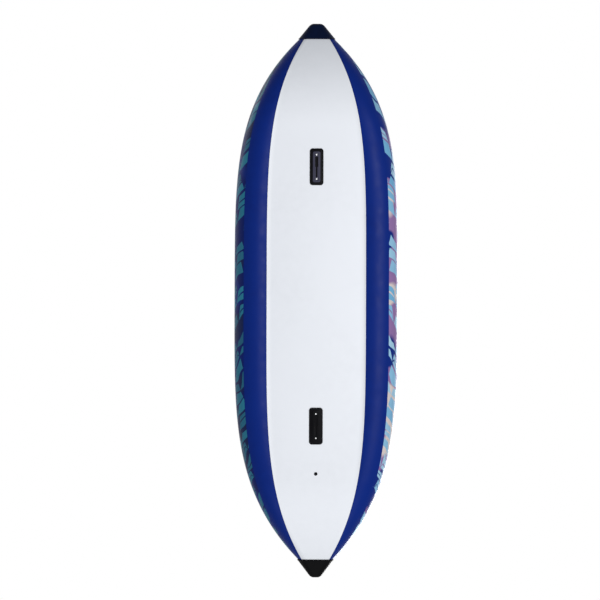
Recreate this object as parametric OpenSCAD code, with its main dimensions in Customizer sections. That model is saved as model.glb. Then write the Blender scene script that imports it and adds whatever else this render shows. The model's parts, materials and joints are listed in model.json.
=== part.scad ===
// Inflatable tandem kayak, right way up: +X is the bow, +Y is port, +Z is up.
// The origin is on the ground, under the middle of the hull.

/* [Hull] */
// Overall length over the nose caps
hull_length = 3200; // [2900:10:3500]
// Beam over the side tubes
hull_beam = 943; // [900:1:1000]
// Diameter of a side tube amidships
tube_d = 260; // [240:1:275]
// Radius that the taper of a side tube aims at, at the very tip
tube_tip_r = 12; // [6:1:20]
// How late the side tubes taper towards the tips
tube_taper = 6.5; // [5.5:0.1:7.5]
// Fullness of the plan outline towards the bow
bow_fullness = 4.2; // [3.8:0.1:4.8]
// Fullness of the plan outline towards the stern
stern_fullness = 3.9; // [3.6:0.1:4.4]
// How far short of the stern tip the plan outline closes
stern_close = 10; // [4:1:16]
// Half of the length over which the keel line lies flat
flat_half_length = 1030; // [1020:5:1080]
// Rise of the keel line at the tips
rocker_rise = 210; // [150:5:250]
// Gap between the two side tubes where they meet at the tips
tube_gap = 0.8; // [0.5:0.1:2]

/* [Skins] */
// Thickness of the bottom panel and of the decks
skin_t = 1.6; // [1:0.1:2.5]
// Thickness of the rub strips under the side tubes
strip_t = 1.2; // [0.8:0.1:2]
// Clearance between a skin and the tube that it lies on
cover_fit = 0.7; // [0.6:0.05:1]
// Distance from the side of the hull to the edge of the pale bottom panel, amidships
panel_inset = 184.5; // [171.5:0.5:201.5]
// Half width that the bottom panel aims at, at the very tip
panel_tip_half_width = 10; // [5:1:20]
// Fullness of the bottom panel towards the bow
panel_bow_fullness = 4.45; // [4.2:0.05:4.8]
// Fullness of the bottom panel towards the stern
panel_stern_fullness = 4.2; // [4:0.05:4.6]
// Angle over which the bottom panel laps a tube, inboard of its edge
panel_lap = 5; // [3:0.5:8]
// Height of the bottom panel's middle above the ground
panel_level = 6.5; // [6:0.25:7]
// Gap between the edges of the bottom panel and of a rub strip
edge_gap = 1; // [0.6:0.1:2]
// Distance from the end of a fin box to the cross seam of the bottom panel beyond it
cross_seam_offset = 4; // [2:1:8]
// Gap between the sheets of the bottom panel at a cross seam
cross_seam_gap = 0.6; // [0.4:0.1:1]
// Angle from straight down to the outer edge of a rub strip, amidships
seam_angle = 36; // [30:1:42]
// How much farther up the rub strip reaches at the tips
seam_rise = 45; // [30:1:50]

/* [Nose caps] */
// Length of the bow nose cap
bow_cap_length = 90; // [80:1:98]
// Length of the stern nose cap
stern_cap_length = 104; // [92:1:112]
// Thickness of a nose cap's wall at its mouth
cap_wall = 2.5; // [2:0.1:4]
// Clearance between a nose cap and the skins inside it
cap_fit = 1; // [0.8:0.1:1.5]
// Half width of the bow nose cap at its tip
bow_cap_tip_half_width = 34; // [30:1:40]
// Half width of the stern nose cap at its tip
stern_cap_tip_half_width = 27; // [25:1:34]
// Half height of a nose cap at its tip
cap_tip_half_height = 23; // [20:1:24]
// Rounding of a nose cap's end
cap_round = 14; // [8:1:18]
// How far a side tube stops short of the tip of its nose cap
tube_setback = 42; // [38:1:50]

/* [Decks] */
// Distance from the tip to the cockpit edge of a deck, along the tubes
deck_reach = 500; // [440:5:540]
// How far the middle of the cockpit edge is set back towards the tip
deck_recess = 90; // [40:5:120]
// Rise of a deck between the tubes at its cockpit edge
deck_crown = 22; // [12:1:30]
// Angle that a deck laps the top of a tube, outboard and inboard
deck_lap = 14; // [12:1:18]

/* [Floor] */
// Thickness of the floor chamber amidships
floor_t = 78; // [60:1:90]
// Bow end of the floor chamber
floor_bow_end = 1150; // [1100:5:1180]
// Stern end of the floor chamber, clear of the drain
floor_stern_end = 930; // [915:5:945]
// Length of the rounded ends of the floor chamber
floor_end_round = 150; // [100:5:180]
// Gap between the floor chamber and the side tubes
floor_gap = 2; // [1.5:0.1:4]
// Thickness of a floor mat
mat_t = 5; // [3:0.5:8]
// Length of a floor mat
mat_l = 320; // [260:5:340]
// Width of a floor mat
mat_w = 280; // [220:5:300]
// Corner radius of a floor mat
mat_corner = 40; // [20:1:60]
// Middle of the front floor mat, along the hull
front_mat_x = 800; // [780:5:820]
// Middle of the rear floor mat, along the hull
rear_mat_x = -85; // [-110:5:-60]
// Gap between pieces that rest on each other
rest_gap = 0.3; // [0.2:0.05:0.5]

/* [Fin boxes] */
// Middle of the bow fin box, along the hull
bow_fin_x = 770; // [740:5:800]
// Middle of the stern fin box, along the hull
stern_fin_x = -723; // [-760:1:-700]
// Length of a fin box's flange
fin_l = 212; // [205:1:230]
// Width of a fin box's flange
fin_w = 79; // [72:1:90]
// Thickness of a fin box's flange
fin_flange_t = 2.6; // [2:0.1:3]
// Corner radius of a fin box's flange
fin_corner = 17; // [10:1:22]
// Length of the raised rail
fin_rail_l = 178; // [172:1:186]
// Width of the raised rail
fin_rail_w = 44; // [40:1:52]
// Corner radius of the raised rail
fin_rail_corner = 10; // [6:1:14]
// Length of the slot for the fin's foot
fin_slot_l = 118; // [100:1:122]
// Width of the slot for the fin's foot
fin_slot_w = 18; // [15:1:22]
// Width between the lips that hold the fin's foot
fin_mouth_w = 9; // [7:0.5:11]
// Thickness of the lips that hold the fin's foot
fin_lip_t = 1.4; // [1.2:0.1:1.8]
// Wall left above the slot
fin_roof_t = 1; // [0.8:0.1:1.4]
// Distance between the two screws of a fin box
fin_screw_pitch = 140; // [136:1:148]
// Diameter of a screw's head
screw_head_d = 11; // [9:0.5:13]
// Height of a screw's head
screw_head_t = 2; // [1.6:0.1:2.4]
// Diameter of a screw's shank
screw_shank_d = 5; // [4:0.1:6]
// Radial clearance round a screw
screw_fit = 0.3; // [0.2:0.05:0.5]

/* [Drain] */
// Place of the drain, along the hull
drain_x = -998; // [-1010:1:-990]
// Outer diameter of the drain's barrel, as seen from below
drain_barrel_d = 20; // [18:0.5:24]
// Bore of the drain
drain_bore_d = 13; // [11:0.5:14]
// Diameter of the drain's flange inside the hull
drain_flange_d = 46; // [40:1:52]
// Thickness of the drain's flange
drain_flange_t = 3; // [2:0.5:4]
// How far the drain's barrel stands proud of the bottom panel
drain_proud = 1.5; // [0.5:0.1:2.5]
// Diameter of the drain plug's knob
drain_knob_d = 36; // [32:1:40]
// Height of the drain plug's knob
drain_knob_h = 10; // [8:1:14]
// Height of the finger bar on the drain plug
drain_bar_h = 9; // [6:1:12]
// Thickness of the finger bar on the drain plug
drain_bar_t = 6; // [4:0.5:8]
// Diameter of the drain seal's section
drain_seal_d = 2.4; // [2:0.1:3]
// Radial clearance of the drain plug in its bore
drain_fit = 0.3; // [0.2:0.05:0.5]

/* [Valves] */
// Place of the two side valves, along the hull
side_valve_x = -500; // [-540:5:-460]
// Place of the floor valve, along the hull
floor_valve_x = -835; // [-845:5:-820]
// Diameter of a valve's flange
valve_flange_d = 64; // [58:1:70]
// How far a valve's flange stands proud of the tube
valve_proud = 2; // [1.5:0.1:3]
// Diameter of a valve's barrel
valve_barrel_d = 44; // [42:1:48]
// Depth of a valve's barrel below the top of the tube
valve_depth = 44; // [42:1:50]
// Diameter of the neck that the cap closes
valve_neck_d = 42; // [40:1:44]
// Height of the neck above the flange
valve_neck_h = 7; // [6:0.5:9]
// Diameter of the socket for the pump's nozzle
valve_socket_d = 32; // [30:0.5:34]
// Depth of the socket for the pump's nozzle
valve_socket_depth = 8; // [7:0.5:9]
// Diameter of the chamber below the socket
valve_chamber_d = 29; // [27:0.5:29.5]
// Height of the spring's room above the web
valve_spring_h = 14; // [12:0.5:15]
// Thickness of the web that guides the stem
valve_web_t = 4; // [3:0.5:5]
// Diameter of the plunger's stem
valve_stem_d = 8; // [7:0.5:9]
// Radial clearance of moving pieces in a valve
valve_fit = 0.35; // [0.25:0.05:0.5]
// Diameter of the plunger's button
valve_button_d = 15; // [14:0.5:17]
// Thickness of the plunger's button
valve_button_t = 3; // [2:0.5:4]
// Diameter of the plunger's sealing disc
valve_disc_d = 27; // [25:0.5:30]
// Thickness of the plunger's sealing disc
valve_disc_t = 3; // [2:0.5:4]
// Number of air holes in the web
valve_air_holes = 6; // [4:1:6]
// Diameter of an air hole in the web
valve_air_d = 5; // [4:0.5:5.5]
// Diameter of a spring's wire
spring_wire_d = 1.2; // [1:0.1:1.4]
// Coils of a valve spring
spring_coils = 4; // [3:1:5]
// Wall of a valve cap
valve_cap_t = 3; // [2:0.5:4]
// Length of the finger bar on a valve cap
valve_bar_l = 38; // [30:1:42]
// Thickness of the finger bar on a valve cap
valve_bar_t = 6; // [4:0.5:8]
// Height of the finger bar on a valve cap
valve_bar_h = 7; // [5:0.5:9]

/* [Seats] */
// Hinge line of the front seat, along the hull
front_seat_x = 230; // [210:5:250]
// Hinge line of the rear seat, along the hull
rear_seat_x = -680; // [-690:5:-660]
// Width of a seat
seat_w = 360; // [320:5:366]
// Depth of a seat base
seat_d = 340; // [300:5:360]
// Thickness of a seat base at its edge
seat_t = 50; // [40:1:60]
// Rise of a cushion's face above its edge
seat_crown = 9; // [4:1:14]
// How far a cushion's side is drawn in along its seam
seat_drawn_in = 5; // [2:1:8]
// Height of a backrest
back_h = 350; // [300:5:400]
// Thickness of a backrest at its edge
back_t = 40; // [34:1:46]
// Lean of a backrest behind upright
back_lean = 12; // [5:1:15]
// Diameter of the bead on the seat's hinge line
bead_d = 6; // [5:0.5:8]
// Height of the hinge line above the seat base's edge
bead_rise = 6; // [4:0.5:10]
// Thickness of the fabric flap that carries the bead
flap_t = 2; // [1.5:0.5:3]
// Gap between a seat base and the flap behind it
flap_gap = 0.5; // [0.3:0.1:1]
// Width of a hinge loop, by which the backrest hangs on the bead
hinge_loop_w = 50; // [40:1:60]
// Distance of a hinge loop from the middle of the seat
hinge_loop_y = 90; // [80:1:100]
// Thickness of a hinge loop
hinge_loop_t = 1.6; // [1.2:0.1:2.2]

/* [Straps] */
// Width of the seat webbing
strap_w = 25; // [20:1:30]
// Thickness of all webbing
strap_t = 2; // [1.5:0.1:2.5]
// Reach of the straps forward of the hinge line
strap_front_reach = 300; // [260:5:330]
// Reach of the straps aft of the hinge line
strap_rear_reach = 230; // [200:5:250]
// Height of the front straps' upper ends along the backrest
strap_front_height = 262; // [250:2:280]
// Height of the rear straps' upper ends along the backrest
strap_rear_height = 212; // [200:2:216]
// Angle inboard from the top of a tube to a strap's patch
strap_angle = 58; // [54:1:64]
// Length of a strap that is sewn flat to its patch
strap_sewn_l = 50; // [40:1:60]
// Half length of a patch on a tube
patch_rx = 44; // [40:1:56]
// Half width of a patch on a tube
patch_ry = 34; // [30:1:40]
// Thickness of a patch
patch_t = 1.5; // [1:0.1:2]
// Length of a strap adjuster
adjuster_l = 32; // [26:1:40]
// Wall of a strap adjuster
adjuster_wall = 2.6; // [2:0.1:4]

/* [Handles] */
// Place of the bow and stern handles, from the tips
end_handle_setback = 205; // [195:5:215]
// Angle outboard from the top of a tube to a side handle
side_handle_angle = 24; // [18:1:28]
// Length of a side handle over its sewn ends
side_handle_l = 300; // [280:5:320]
// Width of the handle webbing
handle_strap_w = 22; // [18:0.5:23]
// Height of a handle's webbing above its sewn ends
handle_rise = 48; // [44:1:52]
// Length of a handle's grip
grip_l = 112; // [100:1:124]
// Diameter of a handle's grip
grip_d = 28; // [24:1:30]

/* [Tow rings] */
// Wire diameter of a tow ring
ring_wire_d = 5; // [4:0.5:6]
// Radius of a tow ring's bow, to the middle of the wire
ring_r = 21; // [19:1:26]
// Length of a tow ring's base
ring_base_l = 64; // [60:1:72]
// Width of a tow ring's base
ring_base_w = 60; // [54:1:66]
// Thickness of a tow ring's base
ring_base_t = 2; // [1.5:0.5:3]
// Width of the loop that holds a tow ring
ring_loop_w = 26; // [20:1:30]
// Wall of the loop that holds a tow ring
ring_loop_wall = 2; // [1.5:0.5:3]
// Radial clearance of a tow ring in its loop
ring_fit = 0.4; // [0.3:0.05:0.6]

/* [Hidden] */
$fn = 48;

// Colours
navy = [0.06, 0.13, 0.42];
print_navy = [0.05, 0.2, 0.38];
print_light = [0.5, 0.66, 0.8];
pale = [0.89, 0.9, 0.92];
black = [0.03, 0.03, 0.04];
grey = [0.45, 0.47, 0.5];
steel = [0.75, 0.76, 0.78];

// Counts of cells in the lofted pieces
station_count = 18;
tube_sides = 24;
lap_cells = 4;
span_cells = 8;
strip_cells = 6;
skin_stations = station_count - 2;
cap_sides = 12;
floor_arc_cells = 5;
floor_end_cells = 4;
patch_cells = 4;
spring_sides = 6;
spring_rings_per_coil = 8;

// Tube centre lines: the fair curves are sampled at the stations, and everything else reads the samples
half_length = hull_length / 2;
tube_mid_r = tube_d / 2;
panel_half_width = hull_beam / 2 - panel_inset;
keel_lift = cover_fit + strip_t;
tube_end_x = half_length - tube_setback;
stations = [for (i = [-station_count : station_count]) tube_end_x * sin(90 * i / station_count)];
skin_x = [for (i = [-skin_stations : skin_stations]) tube_end_x * sin(90 * i / station_count)];

function share_of(x) = abs(x) / half_length;
function plan_share(x) = abs(x) / (half_length - (x >= 0 ? 0 : stern_close));
function plan_y(x) = hull_beam / 2 * (1 - pow(plan_share(x), x >= 0 ? bow_fullness : stern_fullness));
function swell_r(x) = tube_mid_r - (tube_mid_r - tube_tip_r) * pow(share_of(x), tube_taper);
function fair_r(x) = min(swell_r(x), (plan_y(x) - tube_gap) / 2);
function fair_keel(x) =
    rocker_rise * pow(max(0, abs(x) - flat_half_length) / (half_length - flat_half_length), 2);

radius_table = [for (x = stations) [x, fair_r(x)]];
offset_table = [for (x = stations) [x, plan_y(x) - fair_r(x)]];
keel_table = [for (x = stations) [x, fair_keel(x)]];

function tube_r(x) = lookup(x, radius_table);
function tube_y(x) = lookup(x, offset_table);
function keel_z(x) = lookup(x, keel_table);
function tube_z(x) = keel_z(x) + keel_lift + tube_r(x);

// A point on a tube: a is the angle outboard from its top, side is 1 to port and -1 to starboard
function on_tube(x, a, lift, side) = [
    x,
    side * (tube_y(x) + (tube_r(x) + lift) * sin(a)),
    tube_z(x) + (tube_r(x) + lift) * cos(a)
];
function around_tube(a, side) = [0, side * cos(a), -sin(a)];
function arc_degrees(length, x) = length / tube_r(x) * 180 / PI;

function reversed(list) = [for (i = [len(list) - 1 : -1 : 0]) list[i]];
function unit(v) = v / norm(v);
function mix(p, q, share) = p + (q - p) * share;
function square_to(v, along) = unit(v - unit(along) * (v * unit(along)));

// Closed solid through rings of equal length, each counter-clockwise as seen from the next one
module loft(rings) {
    n = len(rings[0]);
    m = len(rings);
    polyhedron(
        points = [for (ring = rings) each ring],
        faces = [
            [for (j = [0 : n - 1]) j],
            for (k = [0 : m - 2], j = [0 : n - 1])
                each [
                    [k * n + j, (k + 1) * n + j, (k + 1) * n + (j + 1) % n],
                    [k * n + j, (k + 1) * n + (j + 1) % n, k * n + (j + 1) % n]
                ],
            [for (j = [n - 1 : -1 : 0]) (m - 1) * n + j]
        ]
    );
}

// Thin solid between two grids of points, the outer one first
module sheet(outer, inner) {
    n = len(outer[0]);
    m = len(outer);
    base = m * n;
    polyhedron(
        points = [for (row = outer) each row, for (row = inner) each row],
        faces = [
            for (i = [0 : m - 2], j = [0 : n - 2])
                each [
                    [i * n + j, (i + 1) * n + j, (i + 1) * n + j + 1],
                    [i * n + j, (i + 1) * n + j + 1, i * n + j + 1],
                    [base + i * n + j, base + (i + 1) * n + j + 1, base + (i + 1) * n + j],
                    [base + i * n + j, base + i * n + j + 1, base + (i + 1) * n + j + 1]
                ],
            for (i = [0 : m - 2])
                each [
                    [i * n, base + i * n, base + (i + 1) * n],
                    [i * n, base + (i + 1) * n, (i + 1) * n],
                    [(i + 1) * n - 1, base + (i + 2) * n - 1, base + (i + 1) * n - 1],
                    [(i + 1) * n - 1, (i + 2) * n - 1, base + (i + 2) * n - 1]
                ],
            for (j = [0 : n - 2])
                each [
                    [j, base + j + 1, base + j],
                    [j, j + 1, base + j + 1],
                    [(m - 1) * n + j, base + (m - 1) * n + j, base + (m - 1) * n + j + 1],
                    [(m - 1) * n + j, base + (m - 1) * n + j + 1, (m - 1) * n + j + 1]
                ]
        ]
    );
}

// Flat webbing along points, with the direction of its width at each point
module webbing(points, across, width) {
    last = len(points) - 1;
    rings = [
        for (i = [0 : last])
            let (
                along = unit(points[min(i + 1, last)] - points[max(i - 1, 0)]),
                w = unit(across[i]) * width / 2,
                t = unit(cross(along, w)) * strap_t / 2
            )
            [points[i] + w - t, points[i] + w + t, points[i] - w + t, points[i] - w - t]
    ];
    loft(rings);
}

// Places children with their x along, their z across the width and their y through the thickness
module along_strap(origin, along, across) {
    x = unit(along);
    z = square_to(across, along);
    y = cross(z, x);
    multmatrix([
        [x[0], y[0], z[0], origin[0]],
        [x[1], y[1], z[1], origin[1]],
        [x[2], y[2], z[2], origin[2]],
        [0, 0, 0, 1]
    ])
        children();
}

module rounded_plate(length, width, height, corner) {
    linear_extrude(height) {
        square([length - 2 * corner, width], center = true);
        square([length, width - 2 * corner], center = true);
        for (x = [-1, 1], y = [-1, 1])
            translate([x * (length / 2 - corner), y * (width / 2 - corner)]) circle(r = corner);
    }
}

// Side tubes with their valve pockets
module tube_solid() {
    loft([
        for (x = stations)
            [for (j = [0 : tube_sides - 1]) on_tube(x, 90 - 360 * j / tube_sides, 0, 1)]
    ]);
}

module port_tube_form() {
    difference() {
        tube_solid();
        translate([side_valve_x, tube_y(side_valve_x), tube_z(side_valve_x) + tube_r(side_valve_x)])
            valve_pocket();
    }
}

module port_tube() {
    color(print_light) port_tube_form();
}

module starboard_tube() {
    color(print_navy) mirror([0, 1, 0]) port_tube_form();
}

// Bottom panel: three sheets in a row, which lap each tube and span the space between them
skin_lift = cover_fit + skin_t;
panel_min_sag = 0.4;
crease_limit = 0.9;
drain_cut = 20;

// Gap over a curved skin, whose cells are flat
curved_rest = 3 * rest_gap;

function panel_y(x) =
    panel_half_width
    - (panel_half_width - panel_tip_half_width)
    * pow(share_of(x), x >= 0 ? panel_bow_fullness : panel_stern_fullness);
function crease(x) =
    asin(max(-crease_limit, min(crease_limit, (panel_y(x) - tube_y(x)) / tube_r(x))));
function panel_edge(x) = crease(x) - arc_degrees(edge_gap, x) / 2;
function panel_leave(x) = min(panel_edge(x), 0) - panel_lap;
function leave_y(x, lift) = tube_y(x) + (tube_r(x) + lift) * sin(panel_leave(x));
function leave_z(x, lift) = tube_z(x) - (tube_r(x) + lift) * cos(panel_leave(x));

low_table = [for (x = stations) [x, min(keel_z(x) + panel_level, leave_z(x, skin_lift) - panel_min_sag)]];

function panel_low(x) = lookup(x, low_table);
function panel_z(x, y, lift) =
    let (edge_z = leave_z(x, lift), mid_z = panel_low(x) + skin_lift - lift)
    edge_z - (edge_z - mid_z) * (1 - pow(y / leave_y(x, lift), 2));

function panel_row(x, lift) =
    let (edge = panel_edge(x), leave = panel_leave(x))
    [
        for (j = [0 : lap_cells]) on_tube(x, 180 - mix(edge, leave, j / lap_cells), lift, -1),
        for (j = [1 : span_cells - 1])
            let (y = leave_y(x, lift) * (2 * j / span_cells - 1)) [x, y, panel_z(x, y, lift)],
        for (j = [0 : lap_cells]) on_tube(x, 180 - mix(leave, edge, j / lap_cells), lift, 1)
    ];

bow_cross_seam = bow_fin_x + fin_l / 2 + cross_seam_offset;
stern_cross_seam = stern_fin_x - fin_l / 2 - cross_seam_offset;

module panel_sheet(from, to) {
    rows = [from, for (x = skin_x) if (x > from && x < to) x, to];
    sheet([for (x = rows) panel_row(x, skin_lift)], [for (x = rows) panel_row(x, cover_fit)]);
}

module bottom_panel() {
    color(pale) panel_sheet(stern_cross_seam, bow_cross_seam);
}

module bow_bottom_panel() {
    color(pale) panel_sheet(bow_cross_seam + cross_seam_gap, skin_x[len(skin_x) - 1]);
}

module stern_bottom_panel() {
    color(pale)
        difference() {
            panel_sheet(skin_x[0], stern_cross_seam - cross_seam_gap);
            translate([drain_x, 0, panel_low(drain_x) - drain_cut / 2])
                cylinder(d = drain_barrel_d + 2 * drain_fit, h = drain_cut);
        }
}

// Rub strips: from the crease beside the bottom panel to the seam on the tube's flank
seam_taper = 4;
strip_min_lap = 2;

function strip_inner(x) = crease(x) + arc_degrees(edge_gap, x) / 2;
function strip_outer(x) = seam_angle + seam_rise * pow(share_of(x), seam_taper);
function strip_row(x, lift) =
    let (inner = strip_inner(x), middle = max(0, inner + strip_min_lap), outer = strip_outer(x))
    [
        for (j = [0 : strip_cells - 1]) on_tube(x, 180 - mix(inner, middle, j / strip_cells), lift, 1),
        for (j = [0 : strip_cells]) on_tube(x, 180 - mix(middle, outer, j / strip_cells), lift, 1)
    ];

module rub_strip() {
    color(navy)
        sheet([for (x = skin_x) strip_row(x, keel_lift)], [for (x = skin_x) strip_row(x, cover_fit)]);
}

module port_rub_strip() {
    rub_strip();
}

module starboard_rub_strip() {
    mirror([0, 1, 0]) rub_strip();
}

// Floor chamber: it rests on the bottom panel, and its round sides stay clear of the tubes
floor_rest = 2 * rest_gap;
floor_level = panel_z(0, 0, cover_fit) + floor_rest + floor_t;

function floor_top(x) = keel_z(x) + floor_level;
function floor_low(x, y) = panel_z(x, y, cover_fit) + floor_rest;
function floor_side_y(x) =
    let (
        r = (floor_top(x) - floor_low(x, 0)) / 2,
        drop = tube_z(x) - (floor_top(x) - r)
    )
    tube_y(x) - sqrt(pow(tube_r(x) + r + floor_gap, 2) - drop * drop);

function floor_ring(x, share) =
    let (
        y = floor_side_y(x) * share,
        low = floor_low(x, y),
        r = (floor_top(x) - low) / 2
    )
    [
        for (j = [0 : floor_arc_cells])
            let (a = -90 + 180 * j / floor_arc_cells) [x, y + r * cos(a), low + r + r * sin(a)],
        for (j = [0 : floor_arc_cells])
            let (a = 90 + 180 * j / floor_arc_cells) [x, -y + r * cos(a), low + r + r * sin(a)],
        for (j = [1 : span_cells - 1])
            let (q = y * (2 * j / span_cells - 1)) [x, q, floor_low(x, q)]
    ];

floor_last_angle = 75;

function floor_end_rings(end_x, way) = [
    for (j = [0 : floor_end_cells])
        let (a = floor_last_angle * j / floor_end_cells, reach = sin(a) / sin(floor_last_angle))
        floor_ring(way * (end_x - floor_end_round * (1 - reach)), cos(a))
];

module floor_chamber() {
    color(grey)
        difference() {
            loft(concat(
                reversed(floor_end_rings(floor_stern_end, -1)),
                [
                    for (x = stations)
                        if (x > floor_end_round - floor_stern_end && x < floor_bow_end - floor_end_round)
                            floor_ring(x, 1)
                ],
                floor_end_rings(floor_bow_end, 1)
            ));
            translate([floor_valve_x, 0, floor_top(floor_valve_x)]) valve_pocket();
        }
}

module floor_mats() {
    color(black)
        for (x = [front_mat_x, rear_mat_x])
            translate([x, 0, floor_level + rest_gap]) rounded_plate(mat_l, mat_w, mat_t, mat_corner);
}

// Decks: rows at the tubes' own stations, with the middle of the cockpit edge set back
deck_x = half_length - deck_reach;
deck_rows = [for (x = stations) if (x >= deck_x && x <= skin_x[len(skin_x) - 1]) x];
deck_last = len(deck_rows) - 1;

function deck_spring_y(x, lift) = tube_y(x) - (tube_r(x) + lift) * sin(deck_lap);
function deck_spring_z(x, lift) = tube_z(x) + (tube_r(x) + lift) * cos(deck_lap);
function deck_setback(i, t) = deck_recess * (1 - t * t) * pow(1 - i / deck_last, 2);
function deck_span(i, t, lift, way) =
    let (
        x = way * (deck_rows[i] + deck_setback(i, t)),
        y = deck_spring_y(x, lift),
        rise = deck_crown * pow(y / deck_spring_y(way * deck_x, lift), 2)
    )
    [x, way * t * y, deck_spring_z(x, lift) + rise * (1 - t * t)];
function deck_row(i, lift, way) =
    let (x = way * deck_rows[i])
    [
        for (j = [0 : lap_cells]) on_tube(x, mix(deck_lap, -deck_lap, j / lap_cells), lift, way),
        for (j = [1 : span_cells - 1]) deck_span(i, 1 - 2 * j / span_cells, lift, way),
        for (j = [0 : lap_cells]) on_tube(x, mix(-deck_lap, deck_lap, j / lap_cells), lift, -way)
    ];

module deck(way) {
    color(navy)
        sheet(
            [for (i = [0 : deck_last]) deck_row(i, skin_lift, way)],
            [for (i = [0 : deck_last]) deck_row(i, cover_fit, way)]
        );
}

module bow_deck() {
    deck(1);
}

module stern_deck() {
    deck(-1);
}

// Nose caps: cups over the ends of the tubes and skins
cap_steps = [0, 0.3, 0.6, 0.8];
cap_round_steps = [0, 35, 65, 90];
cap_lining = skin_lift + cap_fit;
cap_tip_gap = 1;

function cap_length(way) = way > 0 ? bow_cap_length : stern_cap_length;
function cap_tip_half_width(way) = way > 0 ? bow_cap_tip_half_width : stern_cap_tip_half_width;
function cap_mouth_x(way) = half_length - cap_length(way);
function slot_ring(x, half_w, half_h, z) =
    let (mid = half_w - half_h)
    [
        for (j = [0 : cap_sides])
            let (a = -90 + 180 * j / cap_sides) [x, mid + half_h * cos(a), z + half_h * sin(a)],
        for (j = [0 : cap_sides])
            let (a = 90 + 180 * j / cap_sides) [x, half_h * cos(a) - mid, z + half_h * sin(a)]
    ];
function cap_room(x) =
    slot_ring(x, tube_y(x) + tube_r(x) + cap_lining, tube_r(x) + cap_lining, tube_z(x));
function cap_outside(share, way, inset) =
    let (
        x = way * cap_mouth_x(way),
        wall = cap_lining + cap_wall,
        mouth_w = tube_y(x) + tube_r(x) + wall,
        mouth_h = tube_r(x) + wall,
        tip_z = tube_z(way * tube_end_x)
    )
    slot_ring(
        way * (cap_mouth_x(way) + share * cap_length(way)),
        mix(mouth_w, cap_tip_half_width(way), share) - inset,
        mix(mouth_h, cap_tip_half_height, share) - inset,
        mix(tube_z(x), tip_z, share)
    );

module cap(way) {
    room_x = [
        tube_end_x + cap_tip_gap,
        for (i = [len(stations) - 2 : -1 : 0]) if (stations[i] > cap_mouth_x(way)) stations[i],
        cap_mouth_x(way)
    ];
    round_share = cap_round / cap_length(way);
    rings = [
        for (x = room_x) cap_room(way * x),
        for (share = cap_steps) cap_outside(share * (1 - round_share), way, 0),
        for (a = cap_round_steps)
            cap_outside(1 - round_share * (1 - sin(a)), way, cap_round * (1 - cos(a)))
    ];
    color(black) loft(way > 0 ? rings : [for (ring = rings) reversed(ring)]);
}

module bow_cap() {
    cap(1);
}

module stern_cap() {
    cap(-1);
}

// Fin boxes: a flange on the bottom panel and a rail with a keyhole slot, whose face meets the ground
fin_box_h = panel_level - rest_gap;

module fin_screw_places() {
    for (x = [-1, 1]) translate([x * fin_screw_pitch / 2, 0, 0]) children();
}

module fin_box() {
    slot_depth = fin_box_h - fin_roof_t;
    color(black)
        difference() {
            union() {
                rounded_plate(fin_rail_l, fin_rail_w, fin_box_h, fin_rail_corner);
                translate([0, 0, fin_box_h - fin_flange_t])
                    rounded_plate(fin_l, fin_w, fin_flange_t, fin_corner);
            }
            translate([-fin_slot_l / 2, -fin_mouth_w / 2, -fin_lip_t])
                cube([fin_slot_l, fin_mouth_w, slot_depth + fin_lip_t]);
            translate([0, -fin_slot_w / 2, -fin_lip_t])
                cube([fin_slot_l / 2, fin_slot_w, slot_depth + fin_lip_t]);
            translate([-fin_slot_l / 2, -fin_slot_w / 2, fin_lip_t])
                cube([fin_slot_l, fin_slot_w, slot_depth - fin_lip_t]);
            fin_screw_places() {
                translate([0, 0, -fin_lip_t])
                    cylinder(d = screw_head_d + 2 * screw_fit, h = screw_head_t + rest_gap + fin_lip_t);
                cylinder(d = screw_shank_d + 2 * screw_fit, h = slot_depth);
            }
        }
}

module bow_fin_box() {
    translate([bow_fin_x, 0, 0]) fin_box();
}

module stern_fin_box() {
    translate([stern_fin_x, 0, 0]) fin_box();
}

module fin_box_screws() {
    shank_top = fin_box_h - fin_roof_t - rest_gap;
    color(steel)
        for (x = [bow_fin_x, stern_fin_x])
            translate([x, 0, 0])
                fin_screw_places() {
                    translate([0, 0, rest_gap]) cylinder(d = screw_head_d, h = screw_head_t - rest_gap);
                    translate([0, 0, screw_head_t - rest_gap])
                        cylinder(d = screw_shank_d, h = shank_top - screw_head_t + rest_gap);
                }
}

// Drain: a barrel through the bottom panel, closed from inside by a screw plug
drain_base_z = panel_low(drain_x) - drain_proud;
drain_flange_z = panel_z(drain_x, 0, cover_fit) + curved_rest;
drain_top_z = drain_flange_z + drain_flange_t;
drain_knob_z = drain_top_z + rest_gap;
drain_seal_r = (drain_bore_d + drain_flange_d) / 4;
drain_seal_sink = drain_seal_d + rest_gap;

module drain_body() {
    color(black)
        translate([drain_x, 0, 0])
            difference() {
                union() {
                    translate([0, 0, drain_base_z])
                        cylinder(d = drain_barrel_d, h = drain_top_z - drain_base_z);
                    translate([0, 0, drain_flange_z]) cylinder(d = drain_flange_d, h = drain_flange_t);
                }
                translate([0, 0, drain_base_z - drain_proud])
                    cylinder(d = drain_bore_d, h = drain_top_z - drain_base_z + 2 * drain_proud);
            }
}

module drain_plug() {
    color(black)
        translate([drain_x, 0, 0])
            difference() {
                union() {
                    translate([0, 0, drain_base_z + drain_proud])
                        cylinder(d = drain_bore_d - 2 * drain_fit, h = drain_knob_z - drain_base_z);
                    translate([0, 0, drain_knob_z]) cylinder(d = drain_knob_d, h = drain_knob_h);
                    translate([-drain_knob_d / 2 + drain_bar_t / 2, -drain_bar_t / 2, drain_knob_z])
                        cube([drain_knob_d - drain_bar_t, drain_bar_t, drain_knob_h + drain_bar_h]);
                }
                translate([0, 0, drain_knob_z])
                    rotate_extrude()
                        translate([drain_seal_r - drain_seal_d / 2 - rest_gap, -drain_seal_d])
                            square([drain_seal_d + 2 * rest_gap, drain_seal_d + drain_seal_sink]);
            }
}

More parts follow.
